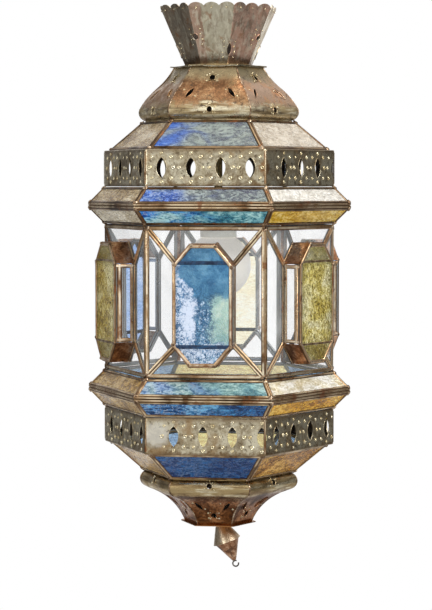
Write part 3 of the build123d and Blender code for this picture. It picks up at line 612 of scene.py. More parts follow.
def rusty_dome():
    """Rust on the slopes, olive near the neck, rubbed brass on the bulge under level bands of painted
    reflection, panels painted lit on the right and shaded on the left, and a painted shadow below the neck.
    """
    tones = (0.15, 0.07, 0.03), (0.34, 0.17, 0.075), (0.5, 0.3, 0.15)
    sheet = Sheet("rusty_dome", 40, *tones, stops=CLOSE_STOPS, metallic=0.85)
    both = sheet.g.times
    sheet.layer(sheet.patches(380, 0.5, 0.6), (0.13, 0.07, 0.035), 0.6)
    # painted light: the panels right of the front are painted paler, as lit by the key lamp, and those on the
    # left darker, as in shade
    lit_right_panels = sheet.panel(1)
    sheet.layer(lit_right_panels, (0.62, 0.45, 0.33), 0.5)
    sheet.layer(sheet.panel(-1), (0.27, 0.145, 0.055), 0.6)
    rust = sheet.patches(48, 0.47, 0.6, seed=4.0)
    sheet.layer(both(lit_right_panels, rust), (0.52, 0.25, 0.1), 0.6)
    # painted shadow: the top plate's shadow on the right panels, just below the neck
    neck_shadow = sheet.near(NECK_SHADOW, NECK_SHADOW_R)
    sheet.layer(both(lit_right_panels, neck_shadow), (0.12, 0.075, 0.042), 0.85)
    neck = sheet.band(dome_high.z - 18 * MM, dome_high.z + 9 * MM, soft=9 * MM, ragged=60 * MM)
    sheet.layer(neck, (0.3, 0.25, 0.14), 0.8)
    bulge = sheet.band(dome_low.z - 9 * MM, dome_low.z + 17 * MM, soft=6 * MM, ragged=55 * MM)
    sheet.layer(bulge, (0.45, 0.35, 0.18), 0.85)
    # painted reflection: pale and dark level bands on the bulge stand for what its round surface mirrors
    pale_streaks_and_highlights = sheet.patches(40, 0.46, 0.62, LEVEL_REFLECTIONS, seed=2.0)
    sheet.layer(both(bulge, pale_streaks_and_highlights), (0.95, 0.87, 0.64), 0.8)
    dark_streaks_and_reflections = sheet.patches(46, 0.5, 0.62, LEVEL_REFLECTIONS, seed=6.0)
    sheet.layer(both(bulge, dark_streaks_and_reflections), (0.15, 0.095, 0.045), 0.8)
    pits = sheet.patches(140, 0.58, 0.66, seed=9.0)
    sheet.layer(pits, (0.07, 0.045, 0.03), 0.75)
    return sheet.done(smooth=0.22, dull=0.48, bump=0.35)


def bell_copper():
    """Dark copper with a rubbed bulge under level bands of painted reflection, and a bright copper edge round
    the plate.
    """
    tones = (0.06, 0.022, 0.008), (0.18, 0.066, 0.02), (0.38, 0.17, 0.07)
    sheet = Sheet("bell_copper", 40, *tones, stops=CLOSE_STOPS)
    both = sheet.g.times
    sheet.layer(sheet.patches(300, 0.5, 0.6), (0.07, 0.032, 0.018), 0.6)
    bulge = sheet.band(bell_high.z - 22 * MM, bell_high.z + 9 * MM, soft=5 * MM, ragged=45 * MM)
    sheet.layer(bulge, (0.5, 0.38, 0.19), 0.85)
    # painted reflection: pale and dark level bands, as on the dome's bulge
    pale_streaks_and_highlights = sheet.patches(40, 0.52, 0.64, LEVEL_REFLECTIONS, seed=5.0)
    sheet.layer(both(bulge, pale_streaks_and_highlights), (0.92, 0.84, 0.6), 0.75)
    dark_streaks_and_reflections = sheet.patches(46, 0.48, 0.62, LEVEL_REFLECTIONS, seed=8.0)
    sheet.layer(both(bulge, dark_streaks_and_reflections), (0.14, 0.075, 0.034), 0.65)
    plate = sheet.band(bell_low.z - 9 * MM, bell_low.z + 2 * MM, soft=3 * MM, ragged=20 * MM)
    sheet.layer(plate, (0.46, 0.21, 0.07), 0.8)
    return sheet.done(smooth=0.22, dull=0.48, bump=0.35)


DOME = rusty_dome()
BELL = bell_copper()
print("dome and bell finishes made")

# %% Crown finish
crown_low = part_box("crown")[0]
CROWN_SIDES = 8
UPRIGHT_STREAKS = (1, 1, 0.08)
THIN_STREAKS = (1, 1, 0.07)
# Tones of the flutes, from the back round by the left; the front one has a lapped seam at its left. Each tone
# is tarnish with painted light: the flutes that face the lamps at the front and right are paler, those on the
# left darker.
FLUTE_LIGHT_AND_TARNISH = (
    (0.45, 0.37, 0.27), (0.34, 0.22, 0.16), (0.4, 0.3, 0.21), (0.36, 0.28, 0.2),
    (0.48, 0.29, 0.2), (0.72, 0.42, 0.3), (0.68, 0.56, 0.39), (0.42, 0.28, 0.19),
)
FRONT_FLUTE = 4
SEAM_SHARE = 0.03
FRONT_LIT_TONE = (0.54, 0.49, 0.35)


def crown_tin():
    """Eight flutes, each in its own tone of tarnish and painted light, with streaks from the rim down."""
    sheet = Sheet("crown_tin", 40, (0.32, 0.28, 0.21), (0.52, 0.49, 0.4), (0.7, 0.68, 0.57))
    g = sheet.g
    turn = g.math("ARCTAN2", sheet.x, g.times(sheet.y, -1.0))
    half_flute = 0.5 / CROWN_SIDES
    wavy = g.math("MULTIPLY_ADD", g.math("SUBTRACT", sheet.fine, 0.5), 0.012, 0.5 + half_flute)
    share = g.math("FRACT", g.math("MULTIPLY_ADD", turn, 0.5 / math.pi, wavy))
    stops = [(i / CROWN_SIDES, tone) for i, tone in enumerate(FLUTE_LIGHT_AND_TARNISH)]
    stops.insert(FRONT_FLUTE + 1, (FRONT_FLUTE / CROWN_SIDES + SEAM_SHARE, FRONT_LIT_TONE))
    # painted light: each flute's stepped tone follows how it faces the lamps, over its tarnish
    sheet.layer(0.75, g.ramp(share, *stops, stepped=True))
    dark_streaks_and_reflections = sheet.patches(130, 0.47, 0.62, UPRIGHT_STREAKS, seed=1.0)
    sheet.layer(dark_streaks_and_reflections, (0.24, 0.165, 0.11), 0.6)
    pale_streaks_and_highlights = sheet.patches(190, 0.5, 0.62, THIN_STREAKS, seed=6.0)
    sheet.layer(pale_streaks_and_highlights, (0.82, 0.77, 0.6), 0.45)
    foot = sheet.band(crown_low.z - 9 * MM, crown_low.z + 8 * MM, soft=5 * MM, ragged=60 * MM)
    sheet.layer(foot, (0.14, 0.085, 0.05), 0.8)
    bright_fold = sheet.band(crown_low.z - 2 * MM, crown_low.z + 1.4 * MM, soft=0.5 * MM)
    sheet.layer(bright_fold, (0.8, 0.66, 0.42), 0.85)
    rust = sheet.patches(60, 0.57, 0.67, seed=8.0)
    sheet.layer(rust, (0.34, 0.17, 0.085), 0.65)
    return sheet.done(smooth=0.28, dull=0.5, bump=0.3)


CROWN = crown_tin()
print("crown finish made, flutes", len(FLUTE_LIGHT_AND_TARNISH))

# %% [markdown]
# ## Glass
#
# Every pane is a real slab from the frame. The clear panes are thin float glass, almost invisible, so
# they are made with a low alpha: light then reaches the lamp inside, which a refracting slab would keep
# out. The coloured panes are rolled and hammered and do refract: a pebbled bump breaks what is behind
# them, the tint drifts from one part of a sheet to the next, and it is deeper in the hollows between the
# pebbles. Panes that face the sky are painted paler than those that face the ground, most of all on the
# right, for the sky and the key lamp that they reflect. Panes at the back are painted paler and clearer,
# as lit from behind by the white backdrop, and painted white glints run along the crests of the wrinkles.

# %% Clear and rolled glass
CLEAR_TINT = (0.9, 0.93, 0.94, 1)
BACK_THROUGH = 0.83
GLASS_STOPS = (0.41, 0.5, 0.59)
GLINT_TINT = (0.9, 0.96, 1.0)


def clear_glass(name, alpha, haze):
    made, g, shader, place = finish(name, roughness=0.04, ior=1.5)
    shader.inputs["Base Color"].default_value = CLEAR_TINT
    film = g.cloud(place, 14, detail=4.0, roughness=0.6, distortion=0.8)
    g.set(shader.inputs["Alpha"], g.span(film, 0.45, 0.7, alpha, alpha + haze))
    g.set(shader.inputs["Normal"], g.bump(g.cloud(place, 30, detail=2.0), 0.06, 2 * MM))
    return made


def rolled_glass(
    name,
    rows,
    split=None,
    through=0.6,
    rough=0.12,
    grain=150,
    bump=0.6,
    painted_glints=0.0,
    back=None,
    crisp=0.3,
    gloss=0.16,
    flow=(0.6, 0.6, 1.7),
):
    """Rolled glass; rows of deep, main and pale tones: left, right and, below a split, both once more."""
    made, g, shader, place = finish(
        name, transmission_weight=through, roughness=rough, ior=1.45, specular_ior_level=gloss
    )
    x, y, z = g.parts(place)
    drift = g.cloud(g.stretched(place, (1, 1, 1.6)), 24, detail=2.0, roughness=0.5, distortion=0.8)
    wrinkle = g.cloud(g.stretched(place, flow), grain, detail=3.0, roughness=0.6, distortion=1.4)
    fine = g.cloud(place, 2.6 * grain, detail=3.0, roughness=0.7)
    tone = g.sum((drift, 0.4), (wrinkle, 0.4), (fine, 0.2))
    tones = [g.ramp(tone, *zip(GLASS_STOPS, row)) for row in rows]
    to_right = g.span(g.sum((drift, 0.2), (x, 1.0)), 0.02, 0.115)
    halves = [g.blend(to_right, *tones[i : i + 2]) for i in range(0, len(tones), 2)]
    colour = halves[0]
    if split is not None:
        above = g.span(z, split - 0.5 * MM, split + 0.5 * MM)
        colour = g.blend(above, halves[1], halves[0])
    # painted light: panes at the back are painted paler and clearer, as lit from behind by the white backdrop
    if back:
        behind = g.span(y, 0.02, 0.03)
        colour = g.blend(behind, colour, back)
        clearer = g.math("MULTIPLY_ADD", behind, BACK_THROUGH - through, through)
        g.set(shader.inputs["Transmission Weight"], clearer)
    relief = g.sum((wrinkle, 0.7), (fine, 0.3))
    colour = g.scaled(colour, g.span(relief, 0.38, 0.62, 1 - crisp, 1 + crisp))
    # painted highlight: white glints along the crests of the wrinkles, stronger towards the left
    if painted_glints:
        glint_crest = g.span(g.math("ABSOLUTE", g.math("SUBTRACT", wrinkle, 0.53)), 0.035, 0.005)
        leftward = g.span(x, 0.03, -0.05, 0.15, painted_glints)
        colour = g.blend(g.times(glint_crest, leftward), colour, GLINT_TINT)
    g.set(shader.inputs["Base Color"], colour)
    g.set(shader.inputs["Normal"], g.bump(relief, bump, 2.4 * MM))
    return made


CLEAR = clear_glass("clear_glass", alpha=0.06, haze=0.1)
SIDE_CLEAR = clear_glass("clear_side_glass", alpha=0.05, haze=0.05)
print("clear glass made")

# %% Glass of the storeys
ROYAL = ((0.05, 0.15, 0.6), (0.1, 0.26, 0.78), (0.3, 0.46, 0.84))
SLATE = ((0.17, 0.18, 0.26), (0.275, 0.32, 0.33), (0.46, 0.52, 0.48))
AZURE = ((0.004, 0.13, 0.6), (0.015, 0.33, 0.92), (0.35, 0.76, 1.0))
TEAL = ((0.03, 0.22, 0.4), (0.12, 0.45, 0.56), (0.5, 0.8, 0.8))
STEEL_BLUE = ((0.14, 0.26, 0.62), (0.25, 0.42, 0.72), (0.55, 0.7, 0.86))
SEA = ((0.17, 0.4, 0.48), (0.31, 0.56, 0.58), (0.6, 0.8, 0.76))
NIGHT = ((0.004, 0.06, 0.24), (0.02, 0.2, 0.52), (0.2, 0.55, 0.9))
DEEP = ((0.002, 0.03, 0.16), (0.004, 0.062, 0.25), (0.015, 0.14, 0.4))
TAN = ((0.3, 0.18, 0.06), (0.54, 0.39, 0.19), (0.8, 0.68, 0.45))
OATS = ((0.53, 0.45, 0.34), (0.66, 0.58, 0.47), (0.78, 0.71, 0.6))
MILK = ((0.74, 0.68, 0.59), (0.83, 0.79, 0.71), (0.92, 0.89, 0.84))
SHELL = ((0.36, 0.28, 0.14), (0.62, 0.53, 0.35), (0.92, 0.86, 0.7))
GOLD = ((0.5, 0.25, 0.005), (0.72, 0.45, 0.03), (0.88, 0.7, 0.26))
CREAM = ((0.86, 0.72, 0.44), (0.95, 0.87, 0.68), (0.99, 0.96, 0.9))
BARK = ((0.24, 0.12, 0.02), (0.52, 0.31, 0.075), (0.8, 0.58, 0.26))
HONEY = ((0.42, 0.17, 0.003), (0.8, 0.42, 0.02), (0.95, 0.66, 0.16))
RESIN = ((0.24, 0.09, 0.004), (0.5, 0.23, 0.025), (0.74, 0.45, 0.12))
BACKLIT_AMBER = (1.0, 0.81, 0.41)
BACKLIT_BLUE = (0.42, 0.64, 0.93)
UPPER_SPLIT = (ridge_high.z + ridge_low.z) / 2
LOWER_SPLIT = (lower_ridge_high.z + lower_ridge_low.z) / 2

# painted light: the pale tones of skyward panes, above the split and on the right, stand for the sky and key
# lamp they reflect
PANES = {
    ("roof", "blue"): rolled_glass("roof_blue", (ROYAL, SLATE), crisp=0.2),
    ("roof", "amber"): rolled_glass("roof_amber", (TAN, OATS), through=0.45, back=BACKLIT_AMBER, crisp=0.15),
    ("upper_cornice", "blue"): rolled_glass(
        "upper_cornice_blue", (ROYAL, SLATE, AZURE, TEAL), UPPER_SPLIT, painted_glints=0.6, crisp=0.35
    ),
    ("upper_cornice", "amber"): rolled_glass(
        "upper_cornice_amber", (TAN, MILK, SHELL, GOLD), UPPER_SPLIT, through=0.45, back=BACKLIT_AMBER, crisp=0.2
    ),
    ("lower_cornice", "blue"): rolled_glass(
        "lower_cornice_blue", (STEEL_BLUE, SEA, NIGHT, NIGHT), LOWER_SPLIT, painted_glints=0.8, back=BACKLIT_BLUE, crisp=0.35
    ),
    ("lower_cornice", "amber"): rolled_glass(
        "lower_cornice_amber", (BARK, CREAM, BARK, HONEY), LOWER_SPLIT, through=0.5, back=BACKLIT_AMBER, crisp=0.25
    ),
    ("lower_roof", "blue"): rolled_glass(
        "lower_roof_blue", (DEEP, DEEP), painted_glints=0.3, back=BACKLIT_BLUE, crisp=0.18, gloss=0.06
    ),
    ("lower_roof", "amber"): rolled_glass(
        "lower_roof_amber", (BARK, RESIN), through=0.5, back=BACKLIT_AMBER, gloss=0.08
    ),
}
print("pane finishes made:", len(PANES))

# %% [markdown]
# ## Jewel glass
#
# The six jewels are thicker glass and hold the eye, so they get finishes of their own. The front one is
# the best seen: steel blue above, pale mint at the lower right, a white reflection at the left that is
# painted in as a cloud of frosted pebbles, and dark pebbles churned up between them. All of it is set out
# in distances from the jewel's middle, made ragged by the same noise that pebbles the surface, so colour
# and relief belong together. A single colour ramp could not bring that about.

# %% Front jewel glass
STEEL_GLASS = ((0.05, 0.2, 0.43), (0.09, 0.31, 0.59), (0.2, 0.48, 0.75))
MINT = ((0.4, 0.68, 0.74), (0.53, 0.79, 0.84), (0.68, 0.89, 0.92))
DARK_PEBBLE = (0.035, 0.12, 0.27)
REFLECTION_WHITE = (0.8, 0.87, 1.0)
JEWEL_STOPS = (0.17, 0.25, 0.34)
JEWEL_THROUGH = 0.95
NO_REFLECTION = 0.7
REFLECTION_MID = (-17 * MM, -16 * MM)
REFLECTION_REACH = (11 * MM, 30 * MM)


def reflection_limit(g, across, up, churn):
    """How tall a pebble must be to carry the painted reflection: low in its cloud, high where the glass stays
    clear.
    """
    wide = g.math("DIVIDE", g.math("SUBTRACT", across, REFLECTION_MID[0]), REFLECTION_REACH[0])
    tall = g.math("DIVIDE", g.math("SUBTRACT", up, REFLECTION_MID[1]), REFLECTION_REACH[1])
    cloud = g.math("SQRT", g.sum((g.times(wide, wide), 1.0), (g.times(tall, tall), 1.0)))
    slant = g.sum((across, 0.85), (up, 0.53))
    left_of_slant = g.span(slant, -4 * MM, 7 * MM, 0.48, 0.68)
    limit = g.span(cloud, 0.3, 1.9, 0.4, 0.66)
    others = (
        g.math("MAXIMUM", left_of_slant, g.span(up, 2 * MM, 10 * MM, NO_REFLECTION, 0.45)),
        g.span(up, -34 * MM, -48 * MM, NO_REFLECTION, 0.49),
        g.span(across, -17 * MM, -29 * MM, NO_REFLECTION, 0.5),
        g.math("MULTIPLY_ADD", churn, -0.13, NO_REFLECTION),
    )
    for other in others:
        limit = g.math("MINIMUM", limit, other)
    return limit


def front_jewel_glass():
    """Steel blue above, mint at the lower right, a painted white reflection at the left and churned pebbles
    between them.
    """
    made, g, shader, place = finish(
        "front_jewel", transmission_weight=JEWEL_THROUGH, roughness=0.05, ior=1.45, specular_ior_level=0.16
    )
    x, _, z = g.parts(place)
    pebbles = g.cloud(place, 340, detail=5.0, roughness=0.75, distortion=1.2)
    drift = g.math("SUBTRACT", g.cloud(place, 60, detail=4.0, roughness=0.6, distortion=0.6), 0.5)
    ragged = g.sum((drift, 20 * MM), (g.math("SUBTRACT", pebbles, 0.5), 26 * MM))
    across = g.math("ADD", x, ragged)
    up = g.math("ADD", g.math("SUBTRACT", z, JEWEL_MID), ragged)
    tone = g.sum((pebbles, 0.5), (drift, 0.6))
    colour = g.ramp(tone, *zip(JEWEL_STOPS, STEEL_GLASS))
    below = g.times(g.span(up, 14 * MM, 8 * MM), g.span(up, -48 * MM, -42 * MM))
    mint = g.times(below, g.span(across, 7 * MM, 13 * MM))
    colour = g.blend(mint, colour, g.ramp(tone, *zip(JEWEL_STOPS, MINT)))
    churn = g.times(below, g.span(g.math("ABSOLUTE", across), 15 * MM, 8 * MM))
    dark = g.times(churn, g.span(pebbles, 0.53, 0.46, 0.0, 0.8))
    colour = g.blend(dark, colour, DARK_PEBBLE)
    # painted reflection: pale pebbles and less transmission stand for a white reflection at the left of the
    # jewel
    over = g.math("SUBTRACT", pebbles, reflection_limit(g, across, up, churn))
    reflection = g.span(over, -0.03, 0.04, 0.0, 0.95)
    colour = g.blend(reflection, colour, REFLECTION_WHITE)
    g.set(shader.inputs["Base Color"], colour)
    g.set(shader.inputs["Transmission Weight"], g.math("MULTIPLY_ADD", reflection, -0.5, JEWEL_THROUGH))
    g.set(shader.inputs["Normal"], g.bump(pebbles, 0.2, 2.0 * MM))
    return made


FRONT_JEWEL = front_jewel_glass()
print("front jewel finish made")

# %% Other jewel glass
PALE_BLUE = ((0.3, 0.47, 0.82), (0.42, 0.58, 0.9), (0.56, 0.7, 0.95))
OLIVE = ((0.34, 0.22, 0.005), (0.74, 0.57, 0.1), (0.97, 0.9, 0.5))
LEMON = ((0.4, 0.28, 0.005), (0.82, 0.69, 0.17), (1.0, 0.96, 0.64))
PEARL = ((0.94, 0.85, 0.58), (1.0, 0.93, 0.7), (1.0, 0.97, 0.83))
AMBER_FLOW = (1.2, 1.2, 0.6)
amber_kind = {"through": 0.75, "rough": 0.09, "grain": 300, "bump": 0.9, "crisp": 0.7}
blue_kind = {"through": 0.97, "rough": 0.05, "grain": 190, "bump": 0.25, "crisp": 0.1}
cream_kind = {"through": 0.97, "rough": 0.06, "grain": 190, "bump": 0.2, "crisp": 0.06}


def darker_ends(glass):
    """Less light comes through a side jewel near its ends and along its edges."""
    g = Graph(glass.node_tree)
    shader = g.tree.nodes["Principled BSDF"]
    x, y, z = g.parts(g.add("ShaderNodeTexCoord").outputs["Object"])
    up = g.math("ABSOLUTE", g.math("SUBTRACT", z, JEWEL_MID))
    across = g.math("ABSOLUTE", g.sum((g.math("ABSOLUTE", x), HIP_SIN), (y, HIP_COS)))
    ends = g.span(up, CREASE - 8 * MM, CREASE + 5 * MM, 1.0, 0.6)
    edges = g.span(across, OPENING_HALF_W - 12 * MM, OPENING_HALF_W, 1.0, 0.55)
    colour = shader.inputs["Base Color"].links[0].from_socket
    g.set(shader.inputs["Base Color"], g.scaled(colour, g.times(ends, edges)))
    return glass


BLUE_JEWEL = rolled_glass("blue_jewel", (PALE_BLUE, PALE_BLUE), **blue_kind)
AMBER_JEWEL = darker_ends(rolled_glass("amber_jewel", (OLIVE, LEMON), flow=AMBER_FLOW, **amber_kind))
CREAM_JEWEL = rolled_glass("cream_jewel", (PEARL, PEARL), **cream_kind)
JEWELS = {
    "front": FRONT_JEWEL,
    "right_front": AMBER_JEWEL,
    "left_front": AMBER_JEWEL,
    "right_back": BLUE_JEWEL,
    "left_back": BLUE_JEWEL,
    "door": CREAM_JEWEL,
}
print("jewel finishes set on faces:", len(JEWELS))

# %% [markdown]
# ## Bulb and lampholder
#
# The globe is frosted and the holder is glazed porcelain, both plain and pale. A frosted globe passes
# daylight from side to side. A true shell of scattering glass would be slow and grainy, so the globe is
# an opaque white with a faint glow of its own in the same warm tone.

# %% Bulb and lampholder finishes
GLOBE_GLOW = 0.23
GLOBE_TINT = (1, 0.94, 0.84, 1)
GLOBE_TONES = ((0.35, (0.94, 0.91, 0.85)), (0.65, (0.99, 0.97, 0.94)))
GLAZE_TONES = ((0.3, (0.97, 0.94, 0.8)), (0.7, (1.0, 0.98, 0.87)))


def frosted():
    glow = {"emission_strength": GLOBE_GLOW, "emission_color": GLOBE_TINT}
    made, g, shader, place = finish("frosted_globe", roughness=0.5, **glow)
    grain = g.cloud(place, 700, detail=2.0)
    cloudy = g.cloud(place, 40, detail=3.0)
    tone = g.sum((grain, 0.5), (cloudy, 0.5))
    g.set(shader.inputs["Base Color"], g.ramp(tone, *GLOBE_TONES))
    g.set(shader.inputs["Normal"], g.bump(grain, 0.08, 0.3 * MM))
    return made


def glazed():
    made, g, shader, place = finish("porcelain", roughness=0.22, coat_weight=0.4)
    g.set(shader.inputs["Base Color"], g.ramp(g.cloud(place, 60, detail=3.0), *GLAZE_TONES))
    return made


FROSTED = frosted()
PORCELAIN = glazed()
print("lamp finishes made: 2")

# %% [markdown]
# ## Channels as swept bars
#
# On the real lantern each pane is held by strips of tin folded round its edges. A strip is a long,
# slightly uneven bar with rounded edges. One Geometry Nodes tree makes them all: it takes a mesh of loose
# edges, one for each bar, with the bar's width, thickness and facing stored on its points. It divides
# every edge, lets the line wander a little, and sweeps a rounded section along it. A sweep is chosen
# because boxes with bevels would be perfectly straight, which no folded strip is.


# %% Tree helpers
def new_tree(name, **amounts):
    """An empty tree that takes geometry, the amounts, a seed and a material."""
    tree = bpy.data.node_groups.new(name, "GeometryNodeTree")
    floats = dict.fromkeys(amounts, "Float")
    kinds = {"Geometry": "Geometry", **floats, "Seed": "Int", "Material": "Material"}
    for key, kind in kinds.items():
        made = tree.interface.new_socket(key, in_out="INPUT", socket_type="NodeSocket" + kind)
        if key in amounts:
            made.default_value = amounts[key]
    tree.interface.new_socket("Geometry", in_out="OUTPUT", socket_type="NodeSocketGeometry")
    g = Graph(tree)
    start = g.add("NodeGroupInput")
    return g, {s.name: s for s in start.outputs}


def named(g, name, kind="FLOAT"):
    """Reads a value that the mesh carries under a name."""
    return g.fill("GeometryNodeInputNamedAttribute", {"data_type": kind}, name=name).outputs["Attribute"]


def store(g, geometry, name, value, kind="FLOAT", domain="POINT"):
    """Writes a value on the geometry under a name."""
    settings = {"data_type": kind, "domain": domain}
    node = g.fill("GeometryNodeStoreNamedAttribute", settings, geometry=geometry, name=name, value=value)
    return node.outputs[0]


def chance(g, low, high, seed):
    """A random number for every point, between two limits."""
    node = g.fill("FunctionNodeRandomValue", {"data_type": "FLOAT"}, seed=seed)
    node.inputs[2].default_value = low
    node.inputs[3].default_value = high
    return node.outputs[1]


def finished_tree(g, geometry, material):
    """Ends a tree: smooth shading, real geometry and the material."""
    smooth = g.add("GeometryNodeSetShadeSmooth", geometry)
    real = g.add("GeometryNodeRealizeInstances", smooth.outputs[0])
    painted = g.fill("GeometryNodeSetMaterial", {}, geometry=real.outputs[0], material=material)
    g.add("NodeGroupOutput", painted.outputs[0])
    return g.tree


def seed_mesh(name, points, edges, values):
    """A mesh of points and edges that carries named values for a tree to read."""
    mesh = bpy.data.meshes.new(name)
    mesh.from_pydata(points, edges, [])
    for key, rows in values.items():
        is_vector = isinstance(rows[0], Vector)
        layer = mesh.attributes.new(key, "FLOAT_VECTOR" if is_vector else "FLOAT", "POINT")
        flat = [c for row in rows for c in row] if is_vector else list(rows)
        layer.data.foreach_set("vector" if is_vector else "value", flat)
    return mesh


def grown(name, mesh, tree, settings):
    """Runs a tree on a mesh and gives back a plain mesh."""
    carrier = bpy.data.objects.new(name + "_carrier", mesh)
    bpy.context.scene.collection.objects.link(carrier)
    modifier = carrier.modifiers.new("grow", "NODES")
    modifier.node_group = tree
    for item in tree.interface.items_tree:
        if item.in_out == "INPUT" and item.name in settings:
            modifier[item.identifier] = settings[item.name]
    bpy.context.view_layer.update()
    shown = carrier.evaluated_get(bpy.context.evaluated_depsgraph_get())
    made = bpy.data.meshes.new_from_object(shown)
    made.name = name
    bpy.data.objects.remove(carrier)
    return made


print("tree helpers ready")

# %% The bar tree
DRIFT_SCALE = 40.0
EDGE_STEPS = 3
MIDDLE_GREY = (0.5, 0.5, 0.5)


def bar_tree():
    """Divides every edge, lets it wander and sweeps a rounded section along it."""
    g, given = new_tree("folded_bars", Step=4 * MM, Wander=0.3 * MM, Rounding=0.3)
    lines = g.add("GeometryNodeMeshToCurve", given["Geometry"]).outputs[0]
    lines = store(g, lines, "tone", chance(g, 0.0, 1.0, given["Seed"]), domain="CURVE")
    dense = g.fill("GeometryNodeResampleCurve", {"mode": "LENGTH"}, curve=lines, length=given["Step"])
    place = g.add("GeometryNodeInputPosition").outputs[0]
    drift = g.fill("ShaderNodeTexNoise", {}, vector=place, scale=DRIFT_SCALE)
    swing = g.vector("SUBTRACT", drift.outputs["Color"], MIDDLE_GREY)
    swing = g.vector("MULTIPLY_ADD", swing, given["Wander"], place)
    curve = store(g, dense.outputs[0], "centre", swing, "FLOAT_VECTOR")
    square = g.fill("GeometryNodeCurvePrimitiveQuadrilateral", {}, width=1.0, height=1.0)
    edges = {"curve": square.outputs[0], "count": EDGE_STEPS, "radius": given["Rounding"]}
    rounded = g.fill("GeometryNodeFilletCurve", {"mode": "POLY"}, **edges)
    parts = g.parts(g.add("GeometryNodeInputPosition").outputs[0])
    section = store(g, rounded.outputs[0], "side", parts["X"])
    section = store(g, section, "depth", parts["Y"])
    sweep = g.fill("GeometryNodeCurveToMesh", {}, curve=curve, profile_curve=section, fill_caps=True)
    wide = g.times(named(g, "side"), named(g, "width"))
    thick = g.times(named(g, "depth"), named(g, "thick"))
    across, out, centre = [named(g, key, "FLOAT_VECTOR") for key in ("across", "out", "centre")]
    moved = g.vector("MULTIPLY_ADD", across, wide, centre)
    moved = g.vector("MULTIPLY_ADD", out, thick, moved)
    shaped = g.fill("GeometryNodeSetPosition", {}, geometry=sweep.outputs[0], position=moved)
    return finished_tree(g, shaped.outputs[0], given["Material"])


BAR_TREE = bar_tree()
print("bar tree nodes:", len(BAR_TREE.nodes))


# %% Bars and pieces
def bar(start, end, out, width, thick, stretch=0.35):
    """One bar whose outer side lies on the line from start to end."""
    along = (end - start).normalized()
    across = along.cross(out).normalized()
    lift = out * (thick / 2)
    reach = along * (stretch * width)
    ends = [start - reach - lift, end + reach - lift]
    return ends, [out] * 2, [across] * 2, width, thick, False


def ring_bars(points, widths, thick, outward):
    """Bars along the sides of a flat ring, inside its outline."""
    out = (points[1] - points[0]).cross(points[2] - points[1]).normalized()
    if out.dot(outward) < 0:
        points = points[::-1]
        widths = widths[:-1][::-1] + widths[-1:]
        out = -out
    count = len(points)
    inward = [out.cross(points[(i + 1) % count] - points[i]).normalized() for i in range(count)]
    inner = []
    for i in range(count):
        before, after = inward[i - 1], inward[i]
        share = before.dot(after)
        low, high = widths[i - 1] / 2, widths[i] / 2
        scale = 1 - share * share
        first, second = (low - share * high) / scale, (high - share * low) / scale
        inner.append(points[i] + before * first + after * second)
    return [bar(inner[i], inner[(i + 1) % count], out, widths[i], thick) for i in range(count)]


def line_mesh(name, lines, material, wander=0.3 * MM, step=4 * MM, rounding=0.4):
    """Sweeps lines of (points, outward directions, sideways directions, width, thickness, closed)."""
    points, edges = [], []
    values = {"out": [], "across": [], "width": [], "thick": []}
    for line, outs, acrosses, width, thick, closed in lines:
        first, count = len(points), len(line)
        edges += [(first + i, first + (i + 1) % count) for i in range(count if closed else count - 1)]
        points += line
        for key, rows in zip(values, (outs, acrosses, [width] * count, [thick] * count)):
            values[key] += rows
    mesh = seed_mesh(name + "_lines", points, edges, values)
    settings = {"Wander": wander, "Step": step, "Rounding": rounding, "Material": material}
    return grown(name, mesh, BAR_TREE, {"Seed": len(lines), **settings})


def filed(mesh):
    """Files off what would stand outside the frame's own box."""
    for vertex in mesh.vertices:
        vertex.co = [min(max(c, low), high) for c, low, high in zip(vertex.co, cad_low, cad_high)]


def place_piece(name, mesh, body, slot, *stands_for):
    """Puts a mesh into the scene on a body of the frame, in place of the nodes it stands for."""
    filed(mesh)
    made = bpy.data.objects.new(name, mesh)
    bpy.context.scene.collection.objects.link(made)
    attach(made, body)
    if stands_for:
        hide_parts(*stands_for)
    return made


def bar_piece(name, lines, material, body, slot, *stands_for, **sweep):
    return place_piece(name, line_mesh(name, lines, material, **sweep), body, slot, *stands_for)


print("bar helpers ready")

# %% Bars of the storeys
ON_CHANNEL = ("lantern", "bronzed_channel")
SKYWARD = ("roof", "upper_cornice")
EVEN_WIDTHS = [CHANNEL_W] * 4
WIDE_FOOT = [CHANNEL_W, CHANNEL_W, CHANNEL_W + CHANNEL_FOOT, CHANNEL_W]
WIDE_TOP = [CHANNEL_W + CHANNEL_FOOT, CHANNEL_W, CHANNEL_W, CHANNEL_W]


def sloped(k, top_r, top_z, low_r, low_z, widths):
    """Bars of one sloping panel; the widths are for its top, right, foot and left sides."""
    top = [corner(top_r, k, top_z), corner(top_r, k + 1, top_z)]
    low = [corner(low_r, k + 1, low_z), corner(low_r, k, low_z)]
    return ring_bars(top + low, widths, CHANNEL_T, face_axes(k)[1])


def roof_bars(*panel):
    return [line for k in range(FACES) for line in sloped(k, *panel)]


def cornice_bars(top_z, low_z):
    ridge_top = (top_z + low_z) / 2 + RIDGE_BAND / 2
    ridge_foot = ridge_top - RIDGE_BAND
    bars = []
    for k in range(FACES):
        bars += sloped(k, BODY_R, top_z, RIDGE_R, ridge_top, EVEN_WIDTHS)
        bars += sloped(k, RIDGE_R, ridge_foot, BODY_R, low_z, EVEN_WIDTHS)
    return bars


def ridge_bars(top_z, low_z):
    """Two strips side by side along the widest edge."""
    bars = []
    for k in range(FACES):
        for side in (-1, 1):
            z = (top_z + low_z) / 2 + side * RIDGE_BAND / 4
            ends = corner(RIDGE_R, k, z), corner(RIDGE_R, k + 1, z)
            bars.append(bar(*ends, face_axes(k)[1], RIDGE_BAND / 2, CHANNEL_T, 0.0))
    return bars


